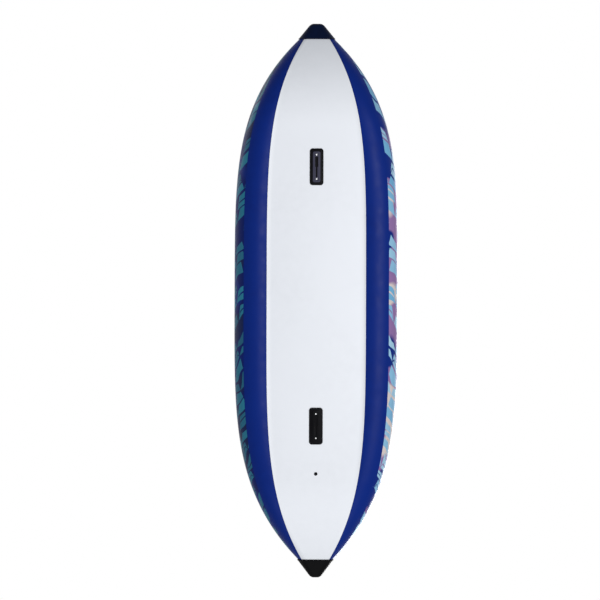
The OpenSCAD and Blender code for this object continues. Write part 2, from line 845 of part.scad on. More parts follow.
module drain_seal() {
    color(grey)
        translate([drain_x, 0, drain_knob_z + drain_seal_d / 2])
            rotate_extrude() translate([drain_seal_r, 0]) circle(d = drain_seal_d);
}

// Valves: heights run from the top of the tube or floor that carries them
valve_seat_r = valve_flange_d / 2 + valve_fit;
valve_seat_drop = tube_mid_r - sqrt(tube_mid_r * tube_mid_r - valve_seat_r * valve_seat_r);
valve_neck_z = valve_proud + valve_neck_h;
valve_step_z = valve_neck_z - valve_socket_depth;
valve_button_z = valve_step_z - rest_gap;
valve_web_z = valve_button_z - valve_button_t - valve_spring_h;
valve_disc_z = valve_web_z - valve_web_t - rest_gap;
valve_cap_z = valve_neck_z + rest_gap;
valve_cap_r = valve_neck_d / 2 + valve_fit + valve_cap_t;
valve_well_d = valve_disc_d + 4 * valve_fit;

module valve_pocket() {
    translate([0, 0, -valve_depth - rest_gap])
        cylinder(d = valve_barrel_d + 2 * valve_fit, h = valve_depth + rest_gap + valve_neck_h);
    translate([0, 0, -valve_seat_drop]) cylinder(r = valve_seat_r, h = valve_seat_drop + valve_neck_h);
}

module valve_places(which) {
    x = which == "floor" ? floor_valve_x : side_valve_x;
    y = which == "floor" ? 0 : which == "port" ? tube_y(x) : -tube_y(x);
    z = which == "floor" ? floor_top(x) : tube_z(x) + tube_r(x);
    translate([x, y, z]) children();
}

module valve_body() {
    color(black)
        difference() {
            union() {
                translate([0, 0, -valve_depth]) cylinder(d = valve_barrel_d, h = valve_depth);
                translate([0, 0, rest_gap - valve_seat_drop])
                    cylinder(d = valve_flange_d, h = valve_seat_drop - rest_gap + valve_proud);
                cylinder(d = valve_neck_d, h = valve_neck_z);
            }
            translate([0, 0, valve_step_z]) cylinder(d = valve_socket_d, h = valve_depth);
            translate([0, 0, valve_web_z]) cylinder(d = valve_chamber_d, h = valve_depth);
            translate([0, 0, -2 * valve_depth])
                cylinder(d = valve_well_d, h = 2 * valve_depth + valve_web_z - valve_web_t);
            translate([0, 0, -valve_depth]) cylinder(d = valve_stem_d + 2 * valve_fit, h = valve_depth);
            for (i = [1 : valve_air_holes])
                rotate([0, 0, 360 * i / valve_air_holes])
                    translate([(valve_stem_d + valve_chamber_d) / 4, 0, -valve_depth])
                        cylinder(d = valve_air_d, h = valve_depth);
        }
}

module valve_cap() {
    color(black) {
        difference() {
            translate([0, 0, valve_proud + rest_gap])
                cylinder(r = valve_cap_r, h = valve_cap_z + valve_cap_t - valve_proud - rest_gap);
            translate([0, 0, valve_proud])
                cylinder(r = valve_cap_r - valve_cap_t, h = valve_cap_z - valve_proud);
        }
        translate([-valve_bar_l / 2, -valve_bar_t / 2, valve_cap_z + valve_cap_t])
            cube([valve_bar_l, valve_bar_t, valve_bar_h]);
    }
}

module valve_plunger() {
    color(grey) {
        translate([0, 0, valve_button_z - valve_button_t]) cylinder(d = valve_button_d, h = valve_button_t);
        translate([0, 0, valve_disc_z])
            cylinder(d = valve_stem_d, h = valve_button_z - valve_disc_z - rest_gap);
        translate([0, 0, valve_disc_z - valve_disc_t]) cylinder(d = valve_disc_d, h = valve_disc_t);
    }
}

spring_r = (valve_stem_d + valve_button_d) / 4;
spring_rise = valve_spring_h - spring_wire_d - 2 * rest_gap;
spring_low = valve_web_z + rest_gap + spring_wire_d / 2;
spring_last = spring_coils * spring_rings_per_coil;

function spring_point(i) =
    let (a = 360 * i / spring_rings_per_coil)
    [spring_r * cos(a), spring_r * sin(a), spring_low + spring_rise * i / spring_last];
function spring_ring(i) =
    let (a = 360 * i / spring_rings_per_coil, out = [cos(a), sin(a), 0])
    [
        for (j = [0 : spring_sides - 1])
            let (b = 360 * j / spring_sides)
            spring_point(i) + spring_wire_d / 2 * (out * cos(b) - [0, 0, sin(b)])
    ];

spring_self_gap = min([
    for (i = [0 : spring_last], j = [i + spring_rings_per_coil / 2 : spring_last])
        norm(spring_point(i) - spring_point(j)) - spring_wire_d
]);
echo(str("least gap between the coils of a valve spring, mm: ", spring_self_gap));

module valve_spring() {
    color(steel) loft([for (i = [0 : spring_last]) spring_ring(i)]);
}

module port_valve_body() {
    valve_places("port") valve_body();
}

module port_valve_cap() {
    valve_places("port") valve_cap();
}

module port_valve_plunger() {
    valve_places("port") valve_plunger();
}

module port_valve_spring() {
    valve_places("port") valve_spring();
}

module starboard_valve_body() {
    valve_places("starboard") valve_body();
}

module starboard_valve_cap() {
    valve_places("starboard") valve_cap();
}

module starboard_valve_plunger() {
    valve_places("starboard") valve_plunger();
}

module starboard_valve_spring() {
    valve_places("starboard") valve_spring();
}

module floor_valve_body() {
    valve_places("floor") valve_body();
}

module floor_valve_cap() {
    valve_places("floor") valve_cap();
}

module floor_valve_plunger() {
    valve_places("floor") valve_plunger();
}

module floor_valve_spring() {
    valve_places("floor") valve_spring();
}

// Cushions: rounded rectangles, drawn in along the side seam and crowned on top
cushion_sides = 32;
cushion_squareness = 5;
cushion_bottom_inset = 16;
cushion_top_inset = 8;
cushion_roll_inset = 2;
cushion_top_shares = [0.85, 0.65, 0.4, 0.15];

// A cushion's side from the bottom up: the inset, and the share of the thickness
cushion_side = [
    [cushion_bottom_inset, 0], [cushion_roll_inset, 0.12], [0, 0.28],
    [seat_drawn_in, 0.5], [0, 0.72], [cushion_roll_inset, 0.88], [cushion_top_inset, 1]
];

function squircle(a, half_l, half_w) = [
    half_l * sign(cos(a)) * pow(abs(cos(a)), 2 / cushion_squareness),
    half_w * sign(sin(a)) * pow(abs(sin(a)), 2 / cushion_squareness)
];
function cushion_ring(half_l, half_w, z) = [
    for (j = [0 : cushion_sides - 1])
        let (p = squircle(360 * (j + 0.5) / cushion_sides, half_l, half_w)) [p[0], p[1], z]
];

module cushion(length, width, thickness, crown) {
    loft([
        for (s = cushion_side) cushion_ring(length / 2 - s[0], width / 2 - s[0], s[1] * thickness),
        for (share = cushion_top_shares)
            cushion_ring(
                (length / 2 - cushion_top_inset) * share,
                (width / 2 - cushion_top_inset) * share,
                thickness + crown * (1 - share * share)
            )
    ]);
}

// Seats: a base on the floor, a bead on a fabric flap as the hinge, and a backrest that leans on its straps
hinge_z = floor_level + rest_gap + seat_t + bead_rise;
hinge_gap = bead_d / 2 + rest_gap;
hinge_loop_r = hinge_gap + hinge_loop_t;

module seat_base(hinge_x) {
    color(navy)
        translate([hinge_x + flap_t / 2 + flap_gap + seat_d / 2, 0, floor_level + rest_gap])
            cushion(seat_d, seat_w, seat_t, seat_crown);
}

module seat_hinge(hinge_x) {
    hinge_w = seat_w - 4 * cushion_bottom_inset;
    notch = [2 * flap_t, hinge_loop_w + 2 * flap_t, 2 * (hinge_loop_r + flap_t)];
    color(black)
        translate([hinge_x, 0, 0]) {
            translate([0, 0, hinge_z]) rotate([90, 0, 0]) cylinder(d = bead_d, h = hinge_w, center = true);
            difference() {
                translate([-flap_t / 2, -hinge_w / 2, floor_level + rest_gap])
                    cube([flap_t, hinge_w, hinge_z - floor_level - rest_gap]);
                for (y = [-hinge_loop_y, hinge_loop_y])
                    translate([0, y, hinge_z]) cube(notch, center = true);
            }
        }
}

// A loop round the bead, with a tab that is sewn under the lower edge of the backrest
module hinge_loop() {
    tab_l = seat_crown + back_t / 2;
    difference() {
        union() {
            rotate([90, 0, 0]) cylinder(r = hinge_loop_r, h = hinge_loop_w, center = true);
            translate([-tab_l, -hinge_loop_w / 2, hinge_gap]) cube([tab_l, hinge_loop_w, hinge_loop_t]);
        }
        rotate([90, 0, 0]) cylinder(r = hinge_gap, h = 2 * hinge_loop_w, center = true);
    }
}

module backrest(hinge_x) {
    color(navy)
        translate([hinge_x, 0, hinge_z])
            rotate([0, -back_lean, 0]) {
                translate([-back_t - seat_crown, 0, hinge_gap + back_h / 2])
                    rotate([0, 90, 0]) cushion(back_h, seat_w, back_t, seat_crown);
                for (y = [-hinge_loop_y, hinge_loop_y]) translate([0, y, 0]) hinge_loop();
            }
}

module front_seat_base() {
    seat_base(front_seat_x);
}

module front_seat_hinge() {
    seat_hinge(front_seat_x);
}

module front_backrest() {
    backrest(front_seat_x);
}

module rear_seat_base() {
    seat_base(rear_seat_x);
}

module rear_seat_hinge() {
    seat_hinge(rear_seat_x);
}

module rear_backrest() {
    backrest(rear_seat_x);
}

// Seat straps: sewn flat to a patch on the tube, then twisted up to the side of the backrest
back_up = [-sin(back_lean), 0, cos(back_lean)];
back_ahead = [cos(back_lean), 0, sin(back_lean)];
patch_lift = cover_fit + patch_t;
sewn_lift = patch_lift + rest_gap + strap_t / 2;
strap_lift_off = patch_rx + strap_t;
strap_twist_share = 0.22;
adjuster_share = 0.5;

// Shares of a backrest's thickness at which the front and the rear straps meet its side
strap_front_share = 0.72;
strap_rear_share = 0.28;

function strap_anchor_x(hinge_x, way) = hinge_x + (way > 0 ? strap_front_reach : -strap_rear_reach);
function strap_head(hinge_x, side, way) =
    [hinge_x, side * (seat_w / 2 + rest_gap + strap_t / 2), hinge_z]
    + back_up * (way > 0 ? strap_front_height : strap_rear_height)
    - back_ahead * (seat_crown + back_t * (way > 0 ? strap_front_share : strap_rear_share));
function strap_sewn(hinge_x, side, way, shift) =
    on_tube(strap_anchor_x(hinge_x, way) + way * shift, -strap_angle, sewn_lift, side);
function strap_start(hinge_x, side, way) =
    mix(
        strap_sewn(hinge_x, side, way, -strap_lift_off),
        strap_head(hinge_x, side, way),
        strap_twist_share
    );

module seat_strap(hinge_x, side, way) {
    flat = around_tube(-strap_angle, side);
    start = strap_start(hinge_x, side, way);
    head = strap_head(hinge_x, side, way);
    upright = square_to(back_up, head - start);
    webbing(
        [
            strap_sewn(hinge_x, side, way, strap_sewn_l / 2),
            strap_sewn(hinge_x, side, way, 0),
            strap_sewn(hinge_x, side, way, -strap_lift_off),
            start,
            head
        ],
        [flat, flat, flat, upright, upright],
        strap_w
    );
}

module strap_adjuster(hinge_x, side, way) {
    start = strap_start(hinge_x, side, way);
    head = strap_head(hinge_x, side, way);
    margin = 2 * (rest_gap + adjuster_wall);
    size = [adjuster_l, strap_t + margin, strap_w + margin];
    window = (adjuster_l - 3 * adjuster_wall) / 2;
    along_strap(mix(start, head, adjuster_share), head - start, back_up)
        difference() {
            cube(size, center = true);
            cube([2 * size[0], strap_t + 2 * rest_gap, strap_w + 2 * rest_gap], center = true);
            for (x = [-1, 1])
                translate([x * (window + adjuster_wall) / 2, 0, 0])
                    cube([window, 2 * size[1], strap_w - 2 * adjuster_wall], center = true);
        }
}

module seat_straps(hinge_x) {
    color(black) for (side = [-1, 1], way = [-1, 1]) seat_strap(hinge_x, side, way);
}

module strap_adjusters(hinge_x) {
    color(black) for (side = [-1, 1], way = [-1, 1]) strap_adjuster(hinge_x, side, way);
}

module front_seat_straps() {
    seat_straps(front_seat_x);
}

module front_strap_adjusters() {
    strap_adjusters(front_seat_x);
}

module rear_seat_straps() {
    seat_straps(rear_seat_x);
}

module rear_strap_adjusters() {
    strap_adjusters(rear_seat_x);
}

// Patches: round-cornered pads that follow a tube
function patch_grid(x0, a0, lift) = [
    for (i = [0 : patch_cells])
        [
            for (j = [0 : patch_cells])
                let (
                    u = 2 * i / patch_cells - 1,
                    v = 1 - 2 * j / patch_cells,
                    x = x0 + patch_rx * u * sqrt(1 - v * v / 2),
                    a = a0 + arc_degrees(patch_ry * v * sqrt(1 - u * u / 2), x0)
                )
                on_tube(x, a, lift, 1)
        ]
];

module patch(x, a) {
    sheet(patch_grid(x, a, patch_lift), patch_grid(x, a, cover_fit));
}

module seat_strap_patches() {
    color(navy)
        for (hinge_x = [front_seat_x, rear_seat_x], way = [-1, 1], m = [0, 1])
            mirror([0, m, 0]) patch(strap_anchor_x(hinge_x, way), -strap_angle);
}

side_handle_end = (side_handle_l - strap_sewn_l) / 2;

module side_handle_patches() {
    color(navy)
        for (x = [-side_handle_end, side_handle_end], m = [0, 1])
            mirror([0, m, 0]) patch(x, side_handle_angle);
}

// Handles: webbing that is sewn down at both ends and carries a round grip
handle_ramp = 36;

module grip(length) {
    difference() {
        rotate([0, 90, 0]) cylinder(d = grip_d, h = length, center = true);
        cube([2 * length, strap_t + 2 * rest_gap, handle_strap_w + 2 * rest_gap], center = true);
    }
}

module side_handle_strap() {
    inner = side_handle_end - strap_sewn_l / 2;
    runs = [
        [-side_handle_l / 2, 0], [-inner, 0], [handle_ramp - inner, handle_rise],
        [inner - handle_ramp, handle_rise], [inner, 0], [side_handle_l / 2, 0]
    ];
    color(black)
        webbing(
            [for (p = runs) on_tube(p[0], side_handle_angle, sewn_lift + p[1], 1)],
            [for (p = runs) around_tube(side_handle_angle, 1)],
            handle_strap_w
        );
}

module side_handle_grip() {
    color(black)
        along_strap(
            on_tube(0, side_handle_angle, sewn_lift + handle_rise, 1),
            [1, 0, 0],
            around_tube(side_handle_angle, 1)
        )
            grip(grip_l);
}

module port_handle_strap() {
    side_handle_strap();
}

module port_handle_grip() {
    side_handle_grip();
}

module starboard_handle_strap() {
    mirror([0, 1, 0]) side_handle_strap();
}

module starboard_handle_grip() {
    mirror([0, 1, 0]) side_handle_grip();
}

// End handles cross the deck from the top of one tube to the top of the other
end_handle_lift = skin_lift + curved_rest + strap_t / 2;
end_handle_angles = [9, 0, -9];

function end_handle_x(way) = way * (half_length - end_handle_setback);
function top_z(x) = tube_z(x) + tube_r(x);
function top_slope(x) =
    let (reach = handle_strap_w / 2)
    unit([2 * reach, 0, top_z(x + reach) - top_z(x - reach)]);
function end_handle_top(way) =
    [end_handle_x(way), 0, top_z(end_handle_x(way)) + end_handle_lift + handle_rise];

module end_handle_strap(way) {
    x = end_handle_x(way);
    top = end_handle_top(way);
    half = grip_l / 2 + strap_t;
    port = [for (a = end_handle_angles) on_tube(x, a, end_handle_lift, 1)];
    starboard = [for (a = reversed(end_handle_angles)) on_tube(x, a, end_handle_lift, -1)];
    route = concat(port, [top + [0, half, 0], top - [0, half, 0]], starboard);
    color(black) webbing(route, [for (p = route) top_slope(x)], handle_strap_w);
}

module end_handle_grip(way) {
    color(black) along_strap(end_handle_top(way), [0, 1, 0], top_slope(end_handle_x(way))) grip(grip_l);
}

module bow_handle_strap() {
    end_handle_strap(1);
}

module bow_handle_grip() {
    end_handle_grip(1);
}

module stern_handle_strap() {
    end_handle_strap(-1);
}

module stern_handle_grip() {
    end_handle_grip(-1);
}

// Tow rings: a D ring that swings in a loop on the middle of the deck
ring_row = 2;
ring_loop_r = ring_wire_d / 2 + ring_fit + ring_loop_wall;
ring_axis_h = ring_loop_r + ring_base_t / 2;
ring_base_corner = ring_base_w / 4;

// Places children on the middle of a deck, clear of the rise of the deck before and behind them
module on_deck(way) {
    fore = deck_span(ring_row + 1, 0, skin_lift, way);
    here = deck_span(ring_row, 0, skin_lift, way);
    aft = deck_span(ring_row - 1, 0, skin_lift, way);
    slope = fore - aft;
    normal = unit([-way * slope[2], 0, abs(slope[0])]);
    rise = max([for (p = [here, fore, aft]) (p - here) * normal / max(ring_base_l, norm(p - here))]);
    translate(here)
        rotate([0, 0, way > 0 ? 0 : 180])
            rotate([0, -atan2(slope[2], abs(slope[0])), 0])
                translate([0, 0, rest_gap + rise * ring_base_l / 2]) children();
}

module ring_base(way) {
    color(black)
        on_deck(way)
            difference() {
                union() {
                    rounded_plate(ring_base_l, ring_base_w, ring_base_t, ring_base_corner);
                    translate([0, 0, ring_axis_h])
                        rotate([90, 0, 0]) cylinder(r = ring_loop_r, h = ring_loop_w, center = true);
                }
                translate([0, 0, ring_axis_h])
                    rotate([90, 0, 0])
                        cylinder(d = ring_wire_d + 2 * ring_fit, h = 2 * ring_loop_w, center = true);
            }
}

module tow_ring(way) {
    color(steel)
        on_deck(way)
            translate([0, 0, ring_axis_h]) {
                rotate([90, 0, 0]) cylinder(d = ring_wire_d, h = 2 * ring_r, center = true);
                rotate([0, 0, -90])
                    rotate_extrude(angle = 180) translate([ring_r, 0]) circle(d = ring_wire_d);
                for (y = [-1, 1]) translate([0, y * ring_r, 0]) sphere(d = ring_wire_d);
            }
}

module bow_ring_base() {
    ring_base(1);
}

module bow_tow_ring() {
    tow_ring(1);
}

module stern_ring_base() {
    ring_base(-1);
}

module stern_tow_ring() {
    tow_ring(-1);
}

port_tube();
starboard_tube();
bottom_panel();
bow_bottom_panel();
stern_bottom_panel();
port_rub_strip();
starboard_rub_strip();
floor_chamber();
floor_mats();
bow_deck();
stern_deck();
bow_cap();
stern_cap();
bow_fin_box();
stern_fin_box();
fin_box_screws();
drain_body();
drain_plug();
drain_seal();
port_valve_body();
port_valve_cap();
port_valve_plunger();
port_valve_spring();
starboard_valve_body();
starboard_valve_cap();
starboard_valve_plunger();
starboard_valve_spring();
floor_valve_body();
floor_valve_cap();
floor_valve_plunger();
floor_valve_spring();
front_seat_base();
front_seat_hinge();
front_backrest();
front_seat_straps();
front_strap_adjusters();
rear_seat_base();
rear_seat_hinge();
rear_backrest();
rear_seat_straps();
rear_strap_adjusters();
seat_strap_patches();
side_handle_patches();
port_handle_strap();
port_handle_grip();
starboard_handle_strap();
starboard_handle_grip();
bow_handle_strap();
bow_handle_grip();
stern_handle_strap();
stern_handle_grip();
bow_ring_base();
bow_tow_ring();
stern_ring_base();
stern_tow_ring();
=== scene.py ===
"""Looks of an inflatable two-seat kayak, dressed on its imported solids."""
import json
import math
from functools import cache

import bmesh
import bpy
import numpy as np
from bpy.props import FloatProperty, FloatVectorProperty, IntProperty, PointerProperty
from mathutils import Matrix, Vector
from mathutils.bvhtree import BVHTree
from mathutils.geometry import area_tri


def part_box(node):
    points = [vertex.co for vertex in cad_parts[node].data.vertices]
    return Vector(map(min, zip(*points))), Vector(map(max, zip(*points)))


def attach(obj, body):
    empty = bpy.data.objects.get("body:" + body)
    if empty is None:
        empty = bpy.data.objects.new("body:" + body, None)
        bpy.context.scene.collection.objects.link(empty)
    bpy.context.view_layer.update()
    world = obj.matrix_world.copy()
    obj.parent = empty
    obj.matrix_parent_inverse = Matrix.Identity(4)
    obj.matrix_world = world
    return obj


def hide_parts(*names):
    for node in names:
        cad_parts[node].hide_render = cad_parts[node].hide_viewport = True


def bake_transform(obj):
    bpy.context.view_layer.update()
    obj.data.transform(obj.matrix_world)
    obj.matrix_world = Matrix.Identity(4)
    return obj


bl_info = {
    "name": "Inflatable Kayak",
    "version": (1, 0, 0),
    "blender": (4, 5, 0),
    "location": "View3D > Sidebar > Kayak",
    "description": "Dresses an inflatable two-seat kayak with skins, soft goods and fittings",
    "category": "Object",
}

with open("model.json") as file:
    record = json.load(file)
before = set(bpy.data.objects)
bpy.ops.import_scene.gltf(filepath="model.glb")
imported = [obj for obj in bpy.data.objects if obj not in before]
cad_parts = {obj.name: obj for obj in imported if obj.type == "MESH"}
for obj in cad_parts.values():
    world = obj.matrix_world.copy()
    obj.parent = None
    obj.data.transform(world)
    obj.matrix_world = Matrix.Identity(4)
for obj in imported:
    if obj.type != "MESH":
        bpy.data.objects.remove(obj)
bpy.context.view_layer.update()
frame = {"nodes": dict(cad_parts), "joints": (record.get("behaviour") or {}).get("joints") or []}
SIDES = {"port": 1, "starboard": -1}
ENDS = {"bow": 1, "stern": -1}
SEATS = {"front": 0.230, "rear": -0.680}
TURN = 2 * math.pi
# Least distance that keeps two faces apart
HAIR = 0.0001
# Height of stitches over the middle of the webbing that they hold
STITCH_LIFT = 0.0012


def length(name, description, default):
    """A length in metres that a user may change."""
    return FloatProperty(name=name, description=description, default=default, unit="LENGTH", precision=4)


def angle(name, description, degrees):
    """An angle that a user may change."""
    return FloatProperty(name=name, description=description, default=math.radians(degrees), subtype="ANGLE")


def ratio(name, description, default):
    """A plain number that a user may change."""
    return FloatProperty(name=name, description=description, default=default)


def colour(name, description, default):
    """A colour that a user may change."""
    return FloatVectorProperty(
        name=name, description=description, default=default, subtype="COLOR", size=3, min=0, max=1
    )


class KAYAK_PG_hull(bpy.types.PropertyGroup):
    """Lines of the hull, and the sizes of its skins."""

    length: length("Length", "Overall length over the nose caps", 3.2)
    beam: length("Beam", "Beam over the side tubes", 0.943)
    tube_d: length("Tube diameter", "Diameter of a side tube amidships", 0.26)
    tip_r: length("Tip radius", "Radius that a side tube tapers towards", 0.012)
    taper: ratio("Taper", "How late the side tubes taper", 6.5)
    bow_fullness: ratio("Bow fullness", "Fullness of the outline towards the bow", 4.2)
    stern_fullness: ratio("Stern fullness", "Fullness of the outline towards the stern", 3.9)
    stern_close: length("Stern close", "How far short of the stern tip the outline closes", 0.010)
    flat_half: length("Flat half length", "Half of the length over which the keel lies flat", 1.03)
    rocker: length("Rocker", "Rise of the keel at the tips", 0.21)
    tube_gap: length("Tube gap", "Gap between the tubes at the tips", 0.0008)
    setback: length("Tube setback", "How far a tube stops short of the tip", 0.042)
    skin_t: length("Skin thickness", "Thickness of the bottom and the decks", 0.0016)
    strip_t: length("Strip thickness", "Thickness of a rub strip", 0.0012)
    cover_fit: length("Cover fit", "Clearance of a skin on a tube", 0.0007)
    panel_half: length("Bottom half width", "Half width of the pale bottom amidships", 0.287)
    panel_tip: length("Bottom tip", "Half width that the bottom tapers towards", 0.010)
    panel_bow: ratio("Bottom bow fullness", "Fullness of the bottom towards the bow", 4.45)
    panel_stern: ratio("Bottom stern fullness", "Fullness of the bottom towards the stern", 4.2)
    panel_lap: angle("Bottom lap", "Angle that the bottom laps a tube", 5)
    panel_level: length("Bottom level", "Height of the bottom's middle", 0.0065)
    edge_gap: length("Edge gap", "Gap between the bottom and a rub strip", 0.001)
    seam: angle("Seam", "Angle from straight down to a rub strip's outer edge", 36)
    seam_rise: angle("Seam rise", "How much farther up the seam is at the tips", 45)
    print_top: angle("Print top", "Angle from straight down to the top of the printed flank", 128)
    tape_w: length("Tape width", "Width of the welded tape on the flank", 0.026)
    tape_t: length("Tape thickness", "Thickness of the welded tape", 0.0006)
    deck_start: length("Deck start", "Place of a deck's cockpit edge along the tubes", 1.1017)
    deck_recess: length("Deck recess", "How far the middle of the cockpit edge is set back", 0.09)
    deck_crown: length("Deck crown", "Rise of a deck between the tubes", 0.022)
    deck_lap: angle("Deck lap", "Angle that a deck laps the top of a tube", 14)
    hem_r: length("Hem radius", "Radius of the bead in a deck's hem", 0.0034)
    bow_cap: length("Bow cap length", "Length of the bow nose cap", 0.090)
    stern_cap: length("Stern cap length", "Length of the stern nose cap", 0.104)
    cap_wall: length("Cap wall", "Wall of a nose cap", 0.0025)
    cap_fit: length("Cap fit", "Clearance of a nose cap on the skins", 0.001)
    bow_cap_tip: length("Bow cap tip", "Half width of the bow nose cap at its tip", 0.034)
    stern_cap_tip: length("Stern cap tip", "Half width of the stern nose cap at its tip", 0.027)
    cap_half_h: length("Cap tip half height", "Half height of a nose cap at its tip", 0.023)
    cap_round: length("Cap rounding", "Rounding of a nose cap's end", 0.014)
    floor_level: length("Floor level", "Height of the floor chamber's top", 0.0867)
    floor_bow: length("Floor bow end", "Bow end of the floor chamber", 1.15)
    floor_stern: length("Floor stern end", "Stern end of the floor chamber", 0.93)
    floor_round: length("Floor rounding", "Length of the floor chamber's round ends", 0.15)
    floor_fit: length("Floor fit", "Clearance of the floor chamber on the bottom", 0.0006)
    floor_gap: length("Floor gap", "Gap between the floor chamber and a tube", 0.002)
    side_valve: length("Side valve place", "Place of the side valves along the hull", -0.5)
    floor_valve: length("Floor valve place", "Place of the floor valve along the hull", -0.835)
    valve_bore: length("Valve bore", "Radius of the hole for a valve", 0.0302)
    drain_bore: length("Drain bore", "Radius of the hole for the drain", 0.0103)


class KAYAK_PG_outfit(bpy.types.PropertyGroup):
    """Sizes of the seats, straps, handles, mats and fittings."""

    seat_w: length("Seat width", "Width of a seat", 0.36)
    seat_d: length("Seat depth", "Depth of a seat base", 0.34)
    seat_t: length("Seat thickness", "Thickness of a seat base at its edge", 0.05)
    crown: length("Crown", "Rise of a cushion's face", 0.009)
    back_h: length("Back height", "Height of a backrest", 0.35)
    back_t: length("Back thickness", "Thickness of a backrest at its edge", 0.04)
    back_gap: length("Back gap", "Distance from the hinge line to a backrest", 0.0033)
    lean: angle("Lean", "Lean of a backrest behind upright", 12)
    hinge_z: length("Hinge height", "Height of a seat's hinge line", 0.143)
    bead_d: length("Bead", "Diameter of the bead on the hinge line", 0.006)
    loop_w: length("Loop width", "Width of a hinge loop", 0.05)
    loop_t: length("Loop thickness", "Thickness of a hinge loop", 0.0016)
    loop_y: length("Loop place", "Distance of a hinge loop from the middle", 0.09)
    piping_r: length("Piping", "Radius of a cushion's piping", 0.0024)
    strap_w: length("Strap width", "Width of the seat webbing", 0.025)
    strap_t: length("Strap thickness", "Thickness of all webbing", 0.002)
    strap_fit: length("Strap fit", "Clearance of webbing on what it is sewn to", 0.0003)
    front_reach: length("Front reach", "Reach of the front straps ahead of the hinge", 0.3)
    rear_reach: length("Rear reach", "Reach of the rear straps behind the hinge", 0.23)
    front_height: length("Front strap height", "Height of the front straps on the backrest", 0.262)
    rear_height: length("Rear strap height", "Height of the rear straps on the backrest", 0.212)
    strap_angle: angle("Strap angle", "Angle inboard from a tube's top to a strap's patch", 58)
    patch_rx: length("Patch half length", "Half length of a patch", 0.044)
    patch_ry: length("Patch half width", "Half width of a patch", 0.034)
    patch_t: length("Patch thickness", "Thickness of a patch", 0.0015)
    handle_w: length("Handle webbing", "Width of the handle webbing", 0.022)
    handle_rise: length("Handle rise", "Height of a handle above its sewn ends", 0.048)
    handle_angle: angle("Handle angle", "Angle outboard from a tube's top to a side handle", 24)
    handle_half: length("Handle half length", "Distance of a side handle's patches from its middle", 0.125)
    end_handle: length("End handle place", "Place of the end handles along the hull", 1.395)
    grip_l: length("Grip length", "Length of a handle's grip", 0.112)
    grip_d: length("Grip diameter", "Diameter of a handle's grip", 0.028)
    grip_pitch: length("Grip rib pitch", "Distance between the ribs of a grip", 0.008)
    stitch: length("Stitch", "Length of a stitch and its gap", 0.0045)
    thread_r: length("Thread", "Radius of the sewing thread", 0.0005)
    mat_l: length("Mat length", "Length of a floor mat", 0.32)
    mat_w: length("Mat width", "Width of a floor mat", 0.28)
    mat_t: length("Mat thickness", "Thickness of a floor mat", 0.005)
    mat_corner: length("Mat corner", "Corner radius of a floor mat", 0.04)
    tile: length("Mat tile", "Distance between the raised tiles of a mat", 0.02)
    tile_h: length("Mat tile height", "Height of the raised tiles of a mat", 0.0014)
    screw_reach: length("Screw reach", "Distance of a screw from the middle of its fin box", 0.07)
    ring_r: length("Ring radius", "Radius of a tow ring to the middle of its wire", 0.021)
    ring_wire: length("Ring wire", "Wire diameter of a tow ring", 0.005)
    cap_ribs: IntProperty(name="Cap ribs", description="Ribs round a valve cap", default=36, min=8, max=72)


class KAYAK_PG_colours(bpy.types.PropertyGroup):
    """Colours of the kayak's finishes."""

    bottom: colour("Bottom", "Pale bottom", (0.800, 0.822, 0.868))
    navy: colour("Navy", "Rub strips and decks", (0.002, 0.018, 0.178))
    tube_navy: colour("Tube navy", "Plain part of the side tubes", (0.002, 0.010, 0.110))
    teal: colour("Teal", "Main blades of the starboard print", (0.026, 0.215, 0.320))
    deep_teal: colour("Deep teal", "Second blades of the starboard print", (0.020, 0.115, 0.200))
    print_ground: colour("Starboard ground", "Ground of the starboard print", (0.006, 0.014, 0.070))
    sky: colour("Sky", "Main blades of the port print", (0.160, 0.410, 0.640))
    pale_sky: colour("Pale sky", "Second blades of the port print", (0.350, 0.570, 0.720))
    peach: colour("Peach", "Pale middle of the patches in the port print", (0.660, 0.580, 0.550))
    violet: colour("Violet", "Patches in the ground of the port print", (0.260, 0.150, 0.340))
    bow_cap: colour("Bow cap", "Bow nose cap", (0.0014, 0.0052, 0.024))
    stern_cap: colour("Stern cap", "Stern nose cap", (0.0014, 0.0014, 0.0018))
    plastic: colour("Plastic", "Moulded fittings", (0.0030, 0.0030, 0.0040))
    # Painted highlights: the bow fin box's rail and slot floor get these lighter colours in place of light
    # reflected off its black plastic
    slate: colour("Slate", "Rail of the bow fin box", (0.045, 0.045, 0.072))
    slot: colour("Slot", "Floor of the slot in the bow fin box", (0.700, 0.700, 0.740))
    grey: colour("Grey", "Plungers", (0.300, 0.310, 0.330))
    floor: colour("Floor", "Floor chamber", (0.230, 0.245, 0.270))
    mat: colour("Mat", "Foam mats", (0.020, 0.021, 0.024))
    fabric: colour("Fabric", "Seat fabric", (0.014, 0.024, 0.085))
    piping: colour("Piping", "Piping of the cushions", (0.060, 0.230, 0.340))
    webbing: colour("Webbing", "Straps", (0.012, 0.012, 0.014))
    thread: colour("Thread", "Stitches", (0.270, 0.300, 0.340))
    rubber: colour("Rubber", "Grips and seals", (0.014, 0.014, 0.016))
    steel: colour("Steel", "Rings, springs and screws", (0.620, 0.630, 0.640))


def hull():
    return bpy.context.scene.kayak_hull


def outfit():
    return bpy.context.scene.kayak_outfit


def tone(name, share=1.0, more=0.0):
    """A colour of the kayak, or a lighter or darker one."""
    return tuple(v * share + more for v in getattr(bpy.context.scene.kayak_colours, name))


# Numbers

def mix(p, q, t):
    return p + (q - p) * t


def smooth(t):
    t = min(max(t, 0), 1)
    return t * t * (3 - 2 * t)


def steps(p, q, count):
    """Even steps from one value or place to another, both with them."""
    return [mix(p, q, j / count) for j in range(count + 1)]


def arc(start, sweep, count):
    """Cosine and sine at even steps of an arc, given in degrees."""
    turns = [math.radians(a) for a in steps(start, start + sweep, count)]
    return [(math.cos(a), math.sin(a)) for a in turns]


